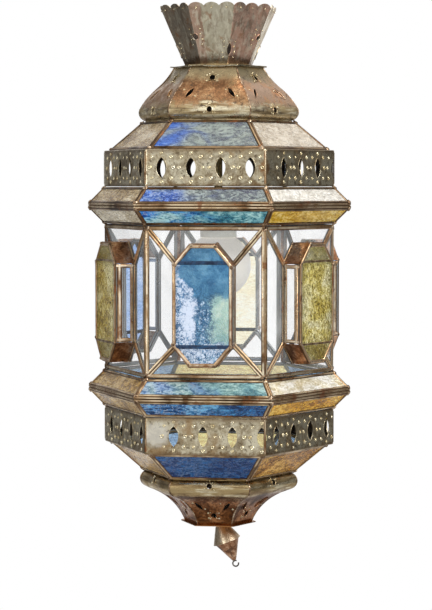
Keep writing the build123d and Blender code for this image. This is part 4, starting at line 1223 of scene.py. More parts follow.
STOREYS = {
    "roof": roof_bars(ROOF_TOP_R, roof_high.z, ROOF_FOOT_R, roof_low.z, WIDE_FOOT),
    "upper_cornice": cornice_bars(ridge_high.z, ridge_low.z),
    "lower_cornice": cornice_bars(lower_ridge_high.z, lower_ridge_low.z),
    "lower_roof": roof_bars(ROOF_FOOT_R, lower_roof_high.z, ROOF_TOP_R, lower_roof_low.z, WIDE_TOP),
}
for name, bars in STOREYS.items():
    # painted shade: storeys that face the sky get the darker, shaded copy of the bronze
    paint = SHADED_ROOF_CHANNEL if name in SKYWARD else CHANNEL
    made = bar_piece(name + "_bars", bars, paint, *ON_CHANNEL, name + "_channels")
    print(name, "bars", len(bars), "faces", len(made.data.polygons))
bar_piece("upper_ridge", ridge_bars(ridge_high.z, ridge_low.z), RIDGE, *ON_CHANNEL)
bar_piece("lower_ridge", ridge_bars(lower_ridge_high.z, lower_ridge_low.z), RIDGE, *ON_CHANNEL)

# %% Bars of the body faces
DOOR_FACE = FACE_NAMES.index("door")


def opening():
    """Corners of the octagonal opening, clockwise from the upper left."""
    a, b, top, side = OPENING_HALF_W, OPENING_HALF_H, OPENING_TOP, OPENING_SIDE
    points = [(-a, side), (-top, b), (top, b), (a, side), (a, -side), (top, -b), (-top, -b), (-a, -side)]
    return [(u, v + OPENING_SHIFT) for u, v in points]


def face_frame(name):
    """The body that a face moves with, and half its width and height."""
    if name == "door":
        return "door", DOOR_HALF_W, DOOR_HALF_H
    return "lantern", BODY_HALF_W, BODY_HALF_H


def face_bars(k, half_w, half_h):
    """Bars round the two upright panes, the upper one and the lower one of a face."""
    left_up, top_left, top_right, right_up, right_low, foot_right, foot_left, left_low = opening()
    corners = [(-half_w, half_h), (half_w, half_h), (half_w, -half_h), (-half_w, -half_h)]
    rings = [
        ([corners[3], corners[0], left_up, left_low], [POST_W] + [BAR_W] * 3),
        ([corners[1], corners[2], right_low, right_up], [POST_W] + [BAR_W] * 3),
        ([corners[0], corners[1], right_up, top_right, top_left, left_up], [SILL_W] + [BAR_W] * 5),
        ([corners[2], corners[3], left_low, foot_left, foot_right, right_low], [SILL_W] + [BAR_W] * 5),
    ]
    bars = []
    for outline, widths in rings:
        points = [on_face(k, u, v) for u, v in outline]
        bars += ring_bars(points, widths, CHANNEL_T, face_axes(k)[1])
    return bars


FACE_BARS = {name: face_bars(k, *face_frame(name)[1:]) for k, name in enumerate(FACE_NAMES)}
for name, bars in FACE_BARS.items():
    body = face_frame(name)[0]
    # painted light: the bars of the faces get the lighter, lit copy of the bronze
    bar_piece(name + "_bars", bars, LIT_FACE_CHANNEL, body, "bronzed_channel", name + "_channels")
print("face bars made for", len(FACE_BARS), "faces")

# %% [markdown]
# ## Solder and punched bosses
#
# Where channels meet, a blob of solder holds them, and the brass bands carry rings of bosses punched from
# behind. Both are small shapes repeated hundreds of times, so one tree for each kind scatters them: each
# point of a seed mesh carries the direction to face and a size. The boss is a low ring, because the punch
# leaves a dimple in its middle that catches a second spark of light.


# %% The blob, boss and burr trees
def scatter(g, given, shape, scale):
    """The shape at every point, turned to the direction that the point carries."""
    out = named(g, "out", "FLOAT_VECTOR")
    turn = g.fill("FunctionNodeAlignRotationToVector", {"axis": "Z"}, vector=out).outputs[0]
    sockets = {"points": given["Geometry"], "instance": shape, "rotation": turn, "scale": scale}
    return g.fill("GeometryNodeInstanceOnPoints", {}, **sockets).outputs[0]


def flattened(g, share):
    return g.add("ShaderNodeCombineXYZ", 1.0, 1.0, share).outputs[0]


def blob_tree():
    g, given = new_tree("solder_blobs", Flatness=0.45, Roughness=0.35)
    ball = g.fill("GeometryNodeMeshUVSphere", {}, segments=8, rings=6, radius=1.0)
    limits = {"min": (0.7, 0.7, 0.8), "max": (1.3, 1.3, 1.2)}
    uneven = g.fill("FunctionNodeRandomValue", {"data_type": "FLOAT_VECTOR"}, seed=given["Seed"], **limits)
    shape = g.vector("MULTIPLY", uneven.outputs[0], flattened(g, given["Flatness"]))
    spread = scatter(g, given, ball.outputs[0], g.scaled(shape, named(g, "size")))
    real = g.add("GeometryNodeRealizeInstances", spread).outputs[0]
    lumps = g.fill("ShaderNodeTexNoise", {}, scale=380.0)
    shift = g.vector("SUBTRACT", lumps.outputs["Color"], MIDDLE_GREY)
    shift = g.scaled(shift, g.times(given["Roughness"], 4 * MM))
    moved = g.fill("GeometryNodeSetPosition", {}, geometry=real, offset=shift)
    return finished_tree(g, moved.outputs[0], given["Material"])


def boss_tree():
    g, given = new_tree("punched_bosses", Ring=0.62, Height=0.75)
    circle = g.fill("GeometryNodeCurvePrimitiveCircle", {}, resolution=10, radius=given["Ring"])
    wall = g.math("SUBTRACT", 1.0, given["Ring"])
    section = g.fill("GeometryNodeCurvePrimitiveCircle", {}, resolution=5, radius=wall)
    curves = {"curve": circle.outputs[0], "profile_curve": section.outputs[0]}
    ring = g.fill("GeometryNodeCurveToMesh", {}, **curves)
    size = g.times(chance(g, 0.8, 1.2, given["Seed"]), named(g, "size"))
    spread = scatter(g, given, ring.outputs[0], g.scaled(flattened(g, given["Height"]), size))
    return finished_tree(g, spread, given["Material"])


def burr_tree():
    g, given = new_tree("torn_burrs", Width=0.6)
    shape = {"vertices": 5, "radius_top": 0.08, "radius_bottom": given["Width"], "depth": 2.0}
    thorn = g.fill("GeometryNodeMeshCone", {}, **shape)
    size = g.times(chance(g, 0.6, 1.4, given["Seed"]), named(g, "size"))
    spread = scatter(g, given, thorn.outputs[0], g.scaled((1, 1, 1), size))
    return finished_tree(g, spread, given["Material"])


BLOB_TREE = blob_tree()
BOSS_TREE = boss_tree()
BURR_TREE = burr_tree()
print("scatter trees made: 3")

# %% Solder at the joints
STOREY_BLOB = 2.6 * MM
FACE_BLOB = 2.0 * MM
BLOB_LIFT = 0.42
FACE_SEED = 10


def dotted_piece(name, spots, tree, material, seed, body, slot):
    """A piece of many small shapes at (point, facing, size) spots."""
    points, outs, sizes = zip(*spots)
    mesh = seed_mesh(name + "_points", list(points), [], {"out": list(outs), "size": list(sizes)})
    place_piece(name, grown(name, mesh, tree, {"Material": material, "Seed": seed}), body, slot)


def joint_blobs(bars, size):
    """A blob where each bar begins, on its outer side."""
    return [(line[0] + outs[0] * (thick * BLOB_LIFT), outs[0], size) for line, outs, _, _, thick, _ in bars]


for i, (name, bars) in enumerate(STOREYS.items()):
    dotted_piece(name + "_solder", joint_blobs(bars, STOREY_BLOB), BLOB_TREE, SOLDER, i, *ON_CHANNEL)
for k, (name, bars) in enumerate(FACE_BARS.items()):
    spots = joint_blobs(bars, FACE_BLOB)
    body = face_frame(name)[0]
    dotted_piece(name + "_solder", spots, BLOB_TREE, SOLDER, FACE_SEED + k, body, "bronzed_channel")
print("solder on", len(STOREYS) + len(FACE_BARS), "frames")

# %% [markdown]
# ## Beaten sheet
#
# Galleries, dome, bell and crown are thin sheet bent round a polygon. Each is laid out as rings of points
# that follow a section from top to foot, with rounded corners, and then dented by noise, as sheet is
# after a hammer. A modifier gives it thickness inwards, and one cutter made of all its holes pierces it.
# Modelling the sheet by rings keeps the folds exact while the faces between them may wander.


# %% Rings and dents
def polygon_ring(sides, flat, z, per_side, rounding, per_corner=4):
    """A closed ring of points round a polygon with rounded corners."""
    half = math.pi / sides
    rounding = min(rounding, flat / 3)
    straight = (flat - rounding) * math.tan(half)
    rise = upward(z)
    points = []
    for k in range(sides):
        out = heading(2 * half * k)
        across = sideways(out)
        shares = [2 * i / per_side - 1 for i in range(per_side + 1)]
        points += [out * flat + across * (straight * share) + rise for share in shares]
        centre = heading(2 * half * (k + 0.5)) * ((flat - rounding) / math.cos(half)) + rise
        turns = [2 * half * (k + i / per_corner) for i in range(1, per_corner)]
        points += [centre + heading(turn) * rounding for turn in turns]
    return points


def dented(mesh, amount, size, seed):
    """Moves every point along its normal by noise of the given size."""
    normals = [normal.vector.copy() for normal in mesh.vertex_normals]
    for vertex, normal in zip(mesh.vertices, normals):
        place = vertex.co / size + Vector((seed, 2 * seed, 3 * seed))
        vertex.co += normal * (amount * (noise.noise(place) + 0.4 * noise.noise(place * 2.7)))


def ring_sheet(name, rings, dent=0.0, dent_size=20 * MM, seed=0.0):
    """Joins rings from the top down and pushes the sheet in and out along its own facing."""
    count = len(rings[0])
    faces = []
    for row in range(len(rings) - 1):
        high, low = row * count, (row + 1) * count
        for i in range(count):
            after = (i + 1) % count
            faces.append((high + i, low + i, low + after, high + after))
    mesh = bpy.data.meshes.new(name)
    mesh.from_pydata([point for points in rings for point in points], [], faces)
    dented(mesh, dent, dent_size, seed)
    return mesh


def worked(name, mesh, thickness, material, cutter=None, fold=38, dark_inside=False):
    """Gives a sheet its thickness inwards, pierces it and keeps its folds sharp."""
    mesh.materials.append(material)
    mesh.materials.append(INSIDE_SHADE)
    carrier = bpy.data.objects.new(name + "_carrier", mesh)
    bpy.context.scene.collection.objects.link(carrier)
    thicken = carrier.modifiers.new("thickness", "SOLIDIFY")
    thicken.thickness = thickness
    thicken.offset = -1
    thicken.use_even_offset = True
    # with dark_inside, the inner side takes the painted shade finish
    thicken.material_offset = 1 if dark_inside else 0
    spent = [carrier]
    if cutter:
        tool = bpy.data.objects.new(name + "_tool", cutter)
        bpy.context.scene.collection.objects.link(tool)
        pierce = carrier.modifiers.new("pierce", "BOOLEAN")
        pierce.object = tool
        pierce.solver = "EXACT"
        pierce.use_self = True
        spent.append(tool)
    bpy.context.view_layer.update()
    shown = carrier.evaluated_get(bpy.context.evaluated_depsgraph_get())
    made = bpy.data.meshes.new_from_object(shown)
    made.name = name
    if not dark_inside:
        made.materials.pop()
    made.shade_smooth()
    made.set_sharp_from_angle(angle=math.radians(fold))
    for item in spent:
        bpy.data.objects.remove(item)
    return made


def sheet_piece(name, sheet, thickness, material, body, slot, *stands_for, **work):
    place_piece(name, worked(name, sheet, thickness, material, **work), body, slot, *stands_for)


print("sheet helpers ready")


# %% Holes, rims and bosses
def leaf_hole(length, width, lean=0.0, count=8):
    """A pointed oval turned by an angle, counterclockwise from its right side."""
    bow = (length * length + width * width) / (4 * width)
    reach = math.asin(length / (2 * bow))
    turns = [reach * (2 * i / count - 1) for i in range(count)]
    side = [(bow * math.cos(turn) - bow + width / 2, bow * math.sin(turn)) for turn in turns]
    whole = side + [(-u, -v) for u, v in side]
    along, aslant = math.cos(lean), math.sin(lean)
    return [(along * u - aslant * v, aslant * u + along * v) for u, v in whole]


def facing_at(surface, k, u, z):
    """The outward direction of a sheet at a place on one of its sides."""
    step = 0.4 * MM
    along = surface(k, u + step, z) - surface(k, u - step, z)
    up = surface(k, u, z + step) - surface(k, u, z - step)
    return along.cross(up).normalized()


def hole_cutter(name, holes, surface, depth):
    """One closed mesh of prisms, one for each (side, across, height, outline) hole."""
    points, faces = [], []
    for k, u, z, shape in holes:
        out = facing_at(surface, k, u, z)
        out = Vector((out.x, out.y, 0)).normalized()
        across = sideways(out)
        middle = surface(k, u, z)
        first, count = len(points), len(shape)
        for side in (depth, -depth):
            points += [middle + across * a + upward(b) + out * side for a, b in shape]
        faces.append(tuple(first + i for i in range(count)))
        faces.append(tuple(first + count + i for i in reversed(range(count))))
        for i in range(count):
            after = (i + 1) % count
            faces.append((first + i, first + count + i, first + count + after, first + after))
    mesh = bpy.data.meshes.new(name)
    mesh.from_pydata(points, [], faces)
    return mesh


def hole_rims(holes, surface, width, thick):
    """Closed lines round the holes, lying on the sheet."""
    lines = []
    for k, u, z, shape in holes:
        points = [surface(k, u + a, z + b) for a, b in shape]
        outs = [facing_at(surface, k, u + a, z + b) for a, b in shape]
        count = len(points)
        runs = [points[(i + 1) % count] - points[i - 1] for i in range(count)]
        sides = [run.cross(out).normalized() for run, out in zip(runs, outs)]
        points = [point + side * (width / 2) for point, side in zip(points, sides)]
        lines.append((points, outs, sides, width, thick, True))
    return lines


def boss_spots(places, surface, size):
    return [(surface(k, u, z), facing_at(surface, k, u, z), size) for k, u, z in places]


print("hole helpers ready")

# %% [markdown]
# ## Pierced galleries
#
# A gallery is one strip of brass, folded inwards along its top and its foot and bent round six corners.
# Pointed ovals are cut through it, each inside a ring of eight bosses punched from behind. The ovals of
# one face do not line up with those of the next, because the strips were pierced flat, before bending.
# Rims round the ovals are swept lines, which is lighter than dense sheet that could carry them itself.

# %% Gallery sheet and ovals
ON_BRASS = ("lantern", "antiqued_brass_sheet")
GALLERY_FLAT = -gallery_low.y
GALLERY_LIP = 11.5 * MM
GALLERY_FOLD = 1.2 * MM
GALLERY_CORNER = 6 * MM
FOLD_TURNS = (0, 0.5, 1.05, math.pi / 2)
WEB_ROWS = 11
GALLERY_STEPS = 36
OVAL_L = 24.5 * MM
OVAL_W = 11.5 * MM
OVAL_PITCH = 35 * MM
OVALS = 4
GALLERY_LIMIT = BODY_HALF_W - 3 * MM
# Places of the eight bosses round an oval, counterclockwise from its right side.
BOSS_PLACES = (
    (14, 0), (11.5, 12.4), (0, 17), (-11.5, 12.4),
    (-14, 0), (-11.5, -12.4), (0, -17), (11.5, -12.4),
)


def gallery_surface(k, u, z):
    across, out = face_axes(k)
    return across * u + out * GALLERY_FLAT + upward(z)


def gallery_path(top_z, foot_z):
    """Lip, fold, web, fold and lip as (distance, height)."""
    out, fold = GALLERY_FLAT, GALLERY_FOLD
    quarter = [(out - fold * (1 - math.sin(turn)), -fold * (1 - math.cos(turn))) for turn in FOLD_TURNS]
    top = [(out - GALLERY_LIP, 0), (out - GALLERY_LIP / 2, 0)] + quarter
    web = [(out, -(top_z - foot_z) * i / WEB_ROWS) for i in range(1, WEB_ROWS)]
    rows = [(flat, top_z + z) for flat, z in top + web]
    return rows + [(flat, foot_z - z) for flat, z in reversed(top)]


def gallery_marks(middle_z, shifts):
    """Ovals of all faces and the bosses round them."""
    holes, bosses = [], []
    for k, shift in enumerate(shifts):
        for i in range(OVALS):
            u = (i - (OVALS - 1) / 2) * OVAL_PITCH + shift * MM
            holes.append((k, u, middle_z, leaf_hole(OVAL_L, OVAL_W)))
            bosses += [(k, u + a * MM, middle_z + b * MM) for a, b in BOSS_PLACES]
    return holes, [spot for spot in bosses if abs(spot[1]) < GALLERY_LIMIT]


print("gallery section rows:", len(gallery_path(gallery_high.z, gallery_low.z)))

# %% Galleries
GALLERY_DENT = {"dent": 0.3 * MM, "dent_size": 34 * MM}
GALLERY_CUT = 5 * MM
OVAL_RIM = (0.9 * MM, 0.6 * MM)
OVAL_SWEEP = {"wander": 0.2 * MM, "step": 1.5 * MM}
SEAM_R = GALLERY_R - 0.5 * MM
SEAM_SIZE = (3.4 * MM, 1.8 * MM)
SEAM_INSET = 3 * MM
BOSS_R = 2.3 * MM
GALLERY_SEED = 7
UPPER_SHIFTS = (1, 17.5, 4, -6, 8, 6)
LOWER_SHIFTS = (15, 3, -5, 6, -9, 7.5)


def gallery(name, low, high, shifts, seed):
    """Band, oval rims, corner seams and bosses of one gallery."""
    path = gallery_path(high.z, low.z)
    rings = [polygon_ring(FACES, flat, z, GALLERY_STEPS, GALLERY_CORNER) for flat, z in path]
    sheet = ring_sheet(name + "_flat", rings, seed=seed, **GALLERY_DENT)
    holes, bosses = gallery_marks((high.z + low.z) / 2, shifts)
    work = {"cutter": hole_cutter(name + "_cutter", holes, gallery_surface, GALLERY_CUT), "dark_inside": True}
    sheet_piece(name + "_band", sheet, SHEET, BRASS, *ON_BRASS, name, **work)
    whole = [hole for hole in holes if abs(hole[1]) + OVAL_W / 2 < GALLERY_LIMIT]
    bar_piece(name + "_rims", hole_rims(whole, gallery_surface, *OVAL_RIM), BRASS, *ON_BRASS, **OVAL_SWEEP)
    seams = []
    for k in range(FACES):
        ends = [corner(SEAM_R, k, z) for z in (low.z + SEAM_INSET, high.z - SEAM_INSET)]
        out = heading(math.radians(FACE_TURN * (k - 0.5)))
        seams.append(bar(*ends, out, *SEAM_SIZE, 0.0))
    bar_piece(name + "_seams", seams, RIDGE, *ON_BRASS)
    spots = boss_spots(bosses, gallery_surface, BOSS_R)
    dotted_piece(name + "_bosses", spots, BOSS_TREE, BOSS, GALLERY_SEED, *ON_BRASS)
    print(name, "ovals", len(holes), "bosses", len(spots))


gallery("upper_gallery", gallery_low, gallery_high, UPPER_SHIFTS, 1.3)
gallery("lower_gallery", lower_gallery_low, lower_gallery_high, LOWER_SHIFTS, 4.1)

# %% [markdown]
# ## Dome and bell
#
# Both are six ogee panels soldered along their hips. The section is a chain of arcs that run into each
# other, from a lip at the neck over a hollow waist to a rolled bulge. Two round holes and two leaning
# leaves pierce every panel, and a run of solder covers each hip. The bell is the dome's section turned
# over.

# %% Ogee sections
NECK_LIP = 4 * MM
FOOT_SPREAD = 1.3 * MM
FOOT_SINK = 3.3 * MM
ARC_STEPS = 9


def ogee(points, start_angle, steps):
    """Arcs through (distance, height) points, each leaving in the direction in which the last one ended."""
    angle = start_angle
    path = [Vector(points[0])]
    for end in points[1:]:
        start = path[-1]
        chord = Vector(end) - start
        half = math.remainder(math.atan2(chord.y, chord.x) - angle, 2 * math.pi)
        for i in range(1, steps + 1):
            turned = angle + half * i / steps
            reach = chord.length * math.sin(half * i / steps) / math.sin(half)
            path.append(start + Vector((math.cos(turned), math.sin(turned))) * reach)
        angle += 2 * half
    return path


def ogee_path(turns, slope, level):
    """Section from the neck lip to the foot lip, and a function for the distance at a height."""
    path = ogee([(flat * MM, level + z * MM) for flat, z in turns], slope, ARC_STEPS)
    heights = [point.y for point in path]

    def flat_at(z):
        for i in range(len(path) - 1):
            first, second = heights[i], heights[i + 1]
            if min(first, second) <= z <= max(first, second):
                share = (z - first) / (second - first)
                return path[i].x + share * (path[i + 1].x - path[i].x)
        return path[0].x if abs(z - heights[0]) < abs(z - heights[-1]) else path[-1].x

    sink = math.copysign(FOOT_SINK, path[-1].y - path[0].y)
    neck = Vector((path[0].x + NECK_LIP, path[0].y))
    foot = Vector((path[-1].x + FOOT_SPREAD, path[-1].y + sink))
    return [neck] + path + [foot], flat_at


print("ogee helper ready, steps in an arc:", ARC_STEPS)

# %% Holes and hips of a shell
ROUND_HOLE_R = 3.3 * MM
ROUND_DOTS = (0.5, 1.6, 2.7, 3.7, 5.7)
ROUND_DOTS_U = 7.5 * MM
ROUND_DOTS_Z = 7 * MM
SHELL_LEAF = (15 * MM, 4.2 * MM)
LEAF_DOTS = ((-7, 4), (7, -4))
BURR_TURNS = (0.8, 2.3, 3.9, 5.5)
HIP_SINK = 0.6 * MM
HIP_SIZE = (1.9 * MM, 1.5 * MM)


def round_hole(radius, count=12):
    steps = [2 * math.pi * i / count for i in range(count)]
    return [(radius * math.cos(step), radius * math.sin(step)) for step in steps]


def shell_marks(marks, level, lean):
    """Holes and bosses of all panels, from marks of (across, rise, shape)."""
    holes, dots = [], []
    for k in range(FACES):
        for across, rise, shape in marks:
            u, z = across * MM, level + rise * MM
            if shape == "round":
                holes.append((k, u, z, round_hole(ROUND_HOLE_R)))
                ring = [(ROUND_DOTS_U * math.cos(a), ROUND_DOTS_Z * math.sin(a)) for a in ROUND_DOTS]
            else:
                holes.append((k, u, z, leaf_hole(*SHELL_LEAF, lean if u > 0 else -lean)))
                ring = [(a * MM, b * MM) for a, b in LEAF_DOTS]
            dots += [(k, u + a, z + b) for a, b in ring]
    return holes, dots


def burr_spots(holes, surface, radius, size):
    """Four torn points round each hole, leaning out from it."""
    spots = []
    for k, u, z, _ in holes:
        middle = surface(k, u, z)
        for turn in BURR_TURNS:
            a, b = u + radius * math.cos(turn), z + radius * math.sin(turn)
            point = surface(k, a, b)
            lean = (point - middle).normalized() * 0.85 + facing_at(surface, k, a, b) * 0.5
            spots.append((point, lean.normalized(), size))
    return spots


def hip_lines(path):
    """A run of solder down every hip."""
    hips = []
    for k in range(FACES):
        out = heading(math.radians(FACE_TURN * (k + 0.5)))
        reaches = [point.x / math.cos(math.pi / FACES) - HIP_SINK for point in path]
        points = [out * reach + upward(point.y) for reach, point in zip(reaches, path)]
        count = len(points)
        hips.append((points, [out] * count, [sideways(out)] * count, *HIP_SIZE, False))
    return hips


print("shell helpers ready")

# %% Dome and bell
ON_COPPER = ("lantern", "copper_sheet")
DOME_TURNS = ((47.97, 0), (65.97, -25), (84.77, -50), (78.97, -65.2))
BELL_TURNS = ((36.47, 0), (51.97, 25), (77.97, 41), (79.47, 61.2))
DOME_SLOPE = math.radians(-65)
BELL_SLOPE = math.radians(72)
DOME_MARKS = ((0, -15, "round"), (0, -54, "round"), (-25, -34, "leaf"), (25, -34, "leaf"))
BELL_MARKS = ((0, 13, "round"), (0, 55, "round"), (-17, 26, "leaf"), (17, 26, "leaf"))
LEAN = math.radians(40)
SHELL_STEPS = 20
HIP_ROUNDING = 2.5 * MM
HIP_SWEEP = {"wander": 0.5 * MM, "step": 3 * MM}
SHELL_DENT = {"dent": 0.9 * MM, "dent_size": 26 * MM}
SHELL_CUT = 12 * MM
TORN_RIM = (1.2 * MM, 1.2 * MM)
TORN_SWEEP = {"wander": 0.5 * MM, "step": 1.2 * MM}
SHELL_BOSS = 1.3 * MM
BURR_RING = 4.4 * MM
BURR = 1.5 * MM
BOSS_SEED = 11
BURR_SEED = 17


def pierced_shell(name, node, section, marks, lean, paint, seed):
    """Shell, hole rims, bosses, burrs and hip solder of the dome or the bell."""
    turns, slope, level = section
    path, flat_at = ogee_path(turns, slope, level)

    def surface(k, u, z):
        across, out = face_axes(k)
        return across * u + out * flat_at(z) + upward(z)

    rings = [polygon_ring(FACES, point.x, point.y, SHELL_STEPS, HIP_ROUNDING) for point in path]
    from_top = rings if path[-1].y < path[0].y else rings[::-1]
    sheet = ring_sheet(name + "_flat", from_top, seed=seed, **SHELL_DENT)
    holes, dots = shell_marks(marks, level, lean)
    work = {"cutter": hole_cutter(name + "_cutter", holes, surface, SHELL_CUT), "dark_inside": True}
    sheet_piece(name + "_shell", sheet, SHEET, paint, *ON_COPPER, node, **work)
    bar_piece(name + "_rims", hole_rims(holes, surface, *TORN_RIM), paint, *ON_COPPER, **TORN_SWEEP)
    spots = boss_spots(dots, surface, SHELL_BOSS)
    dotted_piece(name + "_bosses", spots, BOSS_TREE, BOSS, BOSS_SEED, *ON_COPPER)
    rounds = [hole for hole in holes if hole[1] == 0]
    burrs = burr_spots(rounds, surface, BURR_RING, BURR)
    dotted_piece(name + "_burrs", burrs, BURR_TREE, BOSS, BURR_SEED, *ON_COPPER)
    bar_piece(name + "_hips", hip_lines(path[1:-1]), SOLDER, *ON_COPPER, **HIP_SWEEP)
    print(name, "holes", len(holes), "bosses", len(spots))


dome_section = (DOME_TURNS, DOME_SLOPE, dome_high.z)
bell_section = (BELL_TURNS, BELL_SLOPE, bell_low.z)
pierced_shell("dome", "dome_panels", dome_section, DOME_MARKS, LEAN, DOME, 2.2)
pierced_shell("bell", "bell_panels", bell_section, BELL_MARKS, -LEAN, BELL, 6.4)

# %% [markdown]
# ## Crown and top plate
#
# The crown is one sheet bent into eight flutes that widen upwards, with three scallops along the top of
# each. It stands on a thin plate whose edge has been bent out of flat by handling. Both are sheets of
# rings again; the scallops are the top ring's own heights, and each flute is pulled in a little along its
# middle.

# %% Crown sheet
CROWN_BASE = 42 * math.cos(math.pi / 8) * MM
CROWN_RIM = 73 * math.cos(math.pi / 8) * MM
CROWN_H = 69 * MM
CROWN_LIP = 9 * MM
CROWN_ROWS = 14
CROWN_STEPS = 24
CROWN_ROUNDING = 1.6 * MM
SCALLOPS = 3
SCALLOP_RISE = 4 * MM
SCALLOP_POWER = 0.7
FLUTE = 1.0 * MM


def crown_surface(k, u, z):
    """A place near crease k; u runs across it."""
    out = heading(2 * math.pi * (k + 0.5) / CROWN_SIDES)
    flat = CROWN_BASE + (CROWN_RIM - CROWN_BASE) * (z - crown_low.z) / CROWN_H
    half = math.pi / CROWN_SIDES
    return sideways(out) * u + out * (flat / math.cos(half) - abs(u) * math.tan(half)) + upward(z)


def crown_ring(share):
    """One ring of the crown, at a share of the way from its base to its rim."""
    flat = CROWN_BASE + (CROWN_RIM - CROWN_BASE) * share
    points = polygon_ring(CROWN_SIDES, flat, crown_low.z, CROWN_STEPS, CROWN_ROUNDING)
    count = len(points) // CROWN_SIDES
    for i, point in enumerate(points):
        across = min(i % count, CROWN_STEPS) / CROWN_STEPS
        out = heading(2 * math.pi * (i // count) / CROWN_SIDES)
        bow = math.sin(math.pi * across)
        rise = abs(math.sin(math.pi * SCALLOPS * across)) if i % count <= CROWN_STEPS else 0.0
        reach = share * (1 + SCALLOP_RISE * rise**SCALLOP_POWER / CROWN_H)
        stretch = (CROWN_BASE + (CROWN_RIM - CROWN_BASE) * reach) / flat
        point.x, point.y = point.x * stretch, point.y * stretch
        point -= out * (FLUTE * bow * share)
        point.z += CROWN_H * reach
    return points


def crown_rings():
    """Rings from the scalloped rim down to the lip under the crown."""
    rings = [crown_ring(1 - row / CROWN_ROWS) for row in range(CROWN_ROWS + 1)]
    lip = polygon_ring(CROWN_SIDES, CROWN_BASE - CROWN_LIP, crown_low.z, CROWN_STEPS, CROWN_ROUNDING)
    return rings + [lip]


CROWN_RINGS = crown_rings()
print("crown rings:", len(CROWN_RINGS))

# %% Crown
CROWN_LEAF = (15 * MM, 5 * MM)
CROWN_LEAF_RISE = 18 * MM
CROWN_HOLE_R = 3.6 * MM
CROWN_HOLE_RISE = 33 * MM
CROWN_DOT_ROWS = 4
CROWN_DOT_PITCH = 6 * MM
CROWN_BOSS = 1.25 * MM
RIM_BOSS = 1.2 * MM
RIM_BOSS_OUT = 0.4 * MM
RIM_BOSS_DROP = 2.5 * MM
RIM_BOSS_SPREAD = 0.98
CROWN_DENT = {"dent": 0.5 * MM, "dent_size": 24 * MM, "seed": 3.7}
CROWN_SEED = 13


def crown_marks():
    """A leaf and a round hole in turn on the creases, with two rows of bosses beside each."""
    holes, dots = [], []
    for k in range(CROWN_SIDES):
        shape, rise = leaf_hole(*CROWN_LEAF), CROWN_LEAF_RISE
        if k % 2:
            shape, rise = round_hole(CROWN_HOLE_R), CROWN_HOLE_RISE
        z = crown_low.z + rise
        holes.append((k, 0.0, z, shape))
        for row in range(CROWN_DOT_ROWS):
            height = z + (row - (CROWN_DOT_ROWS - 1) / 2) * CROWN_DOT_PITCH
            dots += [(k, side * (6.5 + row % 2) * MM, height) for side in (-1, 1)]
    return holes, dots


def rim_spots():
    """A boss below every scallop."""
    spots = []
    top = upward(crown_low.z + CROWN_H - RIM_BOSS_DROP)
    for k in range(CROWN_SIDES):
        out = heading(2 * math.pi * k / CROWN_SIDES)
        for i in range(SCALLOPS):
            u = (i - 1) * 2 * CROWN_RIM * math.tan(math.pi / CROWN_SIDES) / SCALLOPS
            point = out * (CROWN_RIM + RIM_BOSS_OUT) + sideways(out) * (u * RIM_BOSS_SPREAD) + top
            spots.append((point, out, RIM_BOSS))
    return spots


holes, dots = crown_marks()
sheet = ring_sheet("crown_flat", CROWN_RINGS, **CROWN_DENT)
work = {"cutter": hole_cutter("crown_cutter", holes, crown_surface, SHELL_CUT), "dark_inside": True}
sheet_piece("crown_sheet", sheet, SHEET, CROWN, *ON_COPPER, "crown", **work)
bar_piece("crown_rims", hole_rims(holes, crown_surface, *TORN_RIM), CROWN, *ON_COPPER, **TORN_SWEEP)
spots = boss_spots(dots, crown_surface, CROWN_BOSS) + rim_spots()
dotted_piece("crown_bosses", spots, BOSS_TREE, BOSS, CROWN_SEED, *ON_COPPER)
print("crown holes", len(holes), "bosses", len(spots))

# %% Top plate
plate_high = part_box("dome_top_plate")[1]
PLATE_EDGE = plate_high.y
PLATE_FLATS = (8 * MM, 30 * MM, 41 * MM, 45 * MM, 49 * MM, PLATE_EDGE)
PLATE_T = 0.8 * MM
PLATE_STIFF = 42 * MM
PLATE_WAVE = 1.1 * MM
PLATE_WAVE_SIZE = 17 * MM
PLATE_SEED = Vector((5, 1, 2))


def top_plate():
    """A thin plate that is flat under the crown and bent down unevenly along its edge."""
    rings = []
    for flat in PLATE_FLATS:
        points = polygon_ring(FACES, flat, plate_high.z, SHELL_STEPS, 1.2 * MM)
        loose = max(0.0, (flat - PLATE_STIFF) / (PLATE_EDGE - PLATE_STIFF))
        for point in points:
            wave = 1.0 + 1.4 * noise.noise(point / PLATE_WAVE_SIZE + PLATE_SEED)
            point.z -= loose * PLATE_WAVE * wave
        rings.append(points)
    return ring_sheet("top_plate_flat", rings)


sheet_piece("top_plate_sheet", top_plate(), PLATE_T, BRASS, *ON_BRASS, "dome_top_plate")
print("top plate rings:", len(PLATE_FLATS))

# %% [markdown]
# ## Jewel boxes
#
# Each box is a copper wall round the octagonal opening, with a channel along its front that holds the
# coloured glass. The end walls are separate dented facets and the two long sides are open windows with a
# strip of wall round them. Bars make the rims and strips, small sheets make the facets.

# %% Rims, strips and creases
RIM_W = 4.5 * MM
BACK_RIM_W = 3.2 * MM
BACK_RIM_T = 2.6 * MM
WALL_INSET = 2 * MM
WINDOW_BORDER = 4.5 * MM
WINDOW_STRIP = (WINDOW_BORDER, 1.0 * MM)
FRONT_STRIP_W = 6 * MM
FRONT_STRIP = (FRONT_STRIP_W, 1.2 * MM)
FRONT_LAP = 0.5 * MM
CREASE_T = 1.6 * MM
CREASE_RISE = 1.2 * MM
CREASE_LIFT = 0.6 * MM
CREASE_INSET = 1 * MM
GLASS_FRONT = -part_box("front_jewel_glass")[0].y - BODY_FLAT


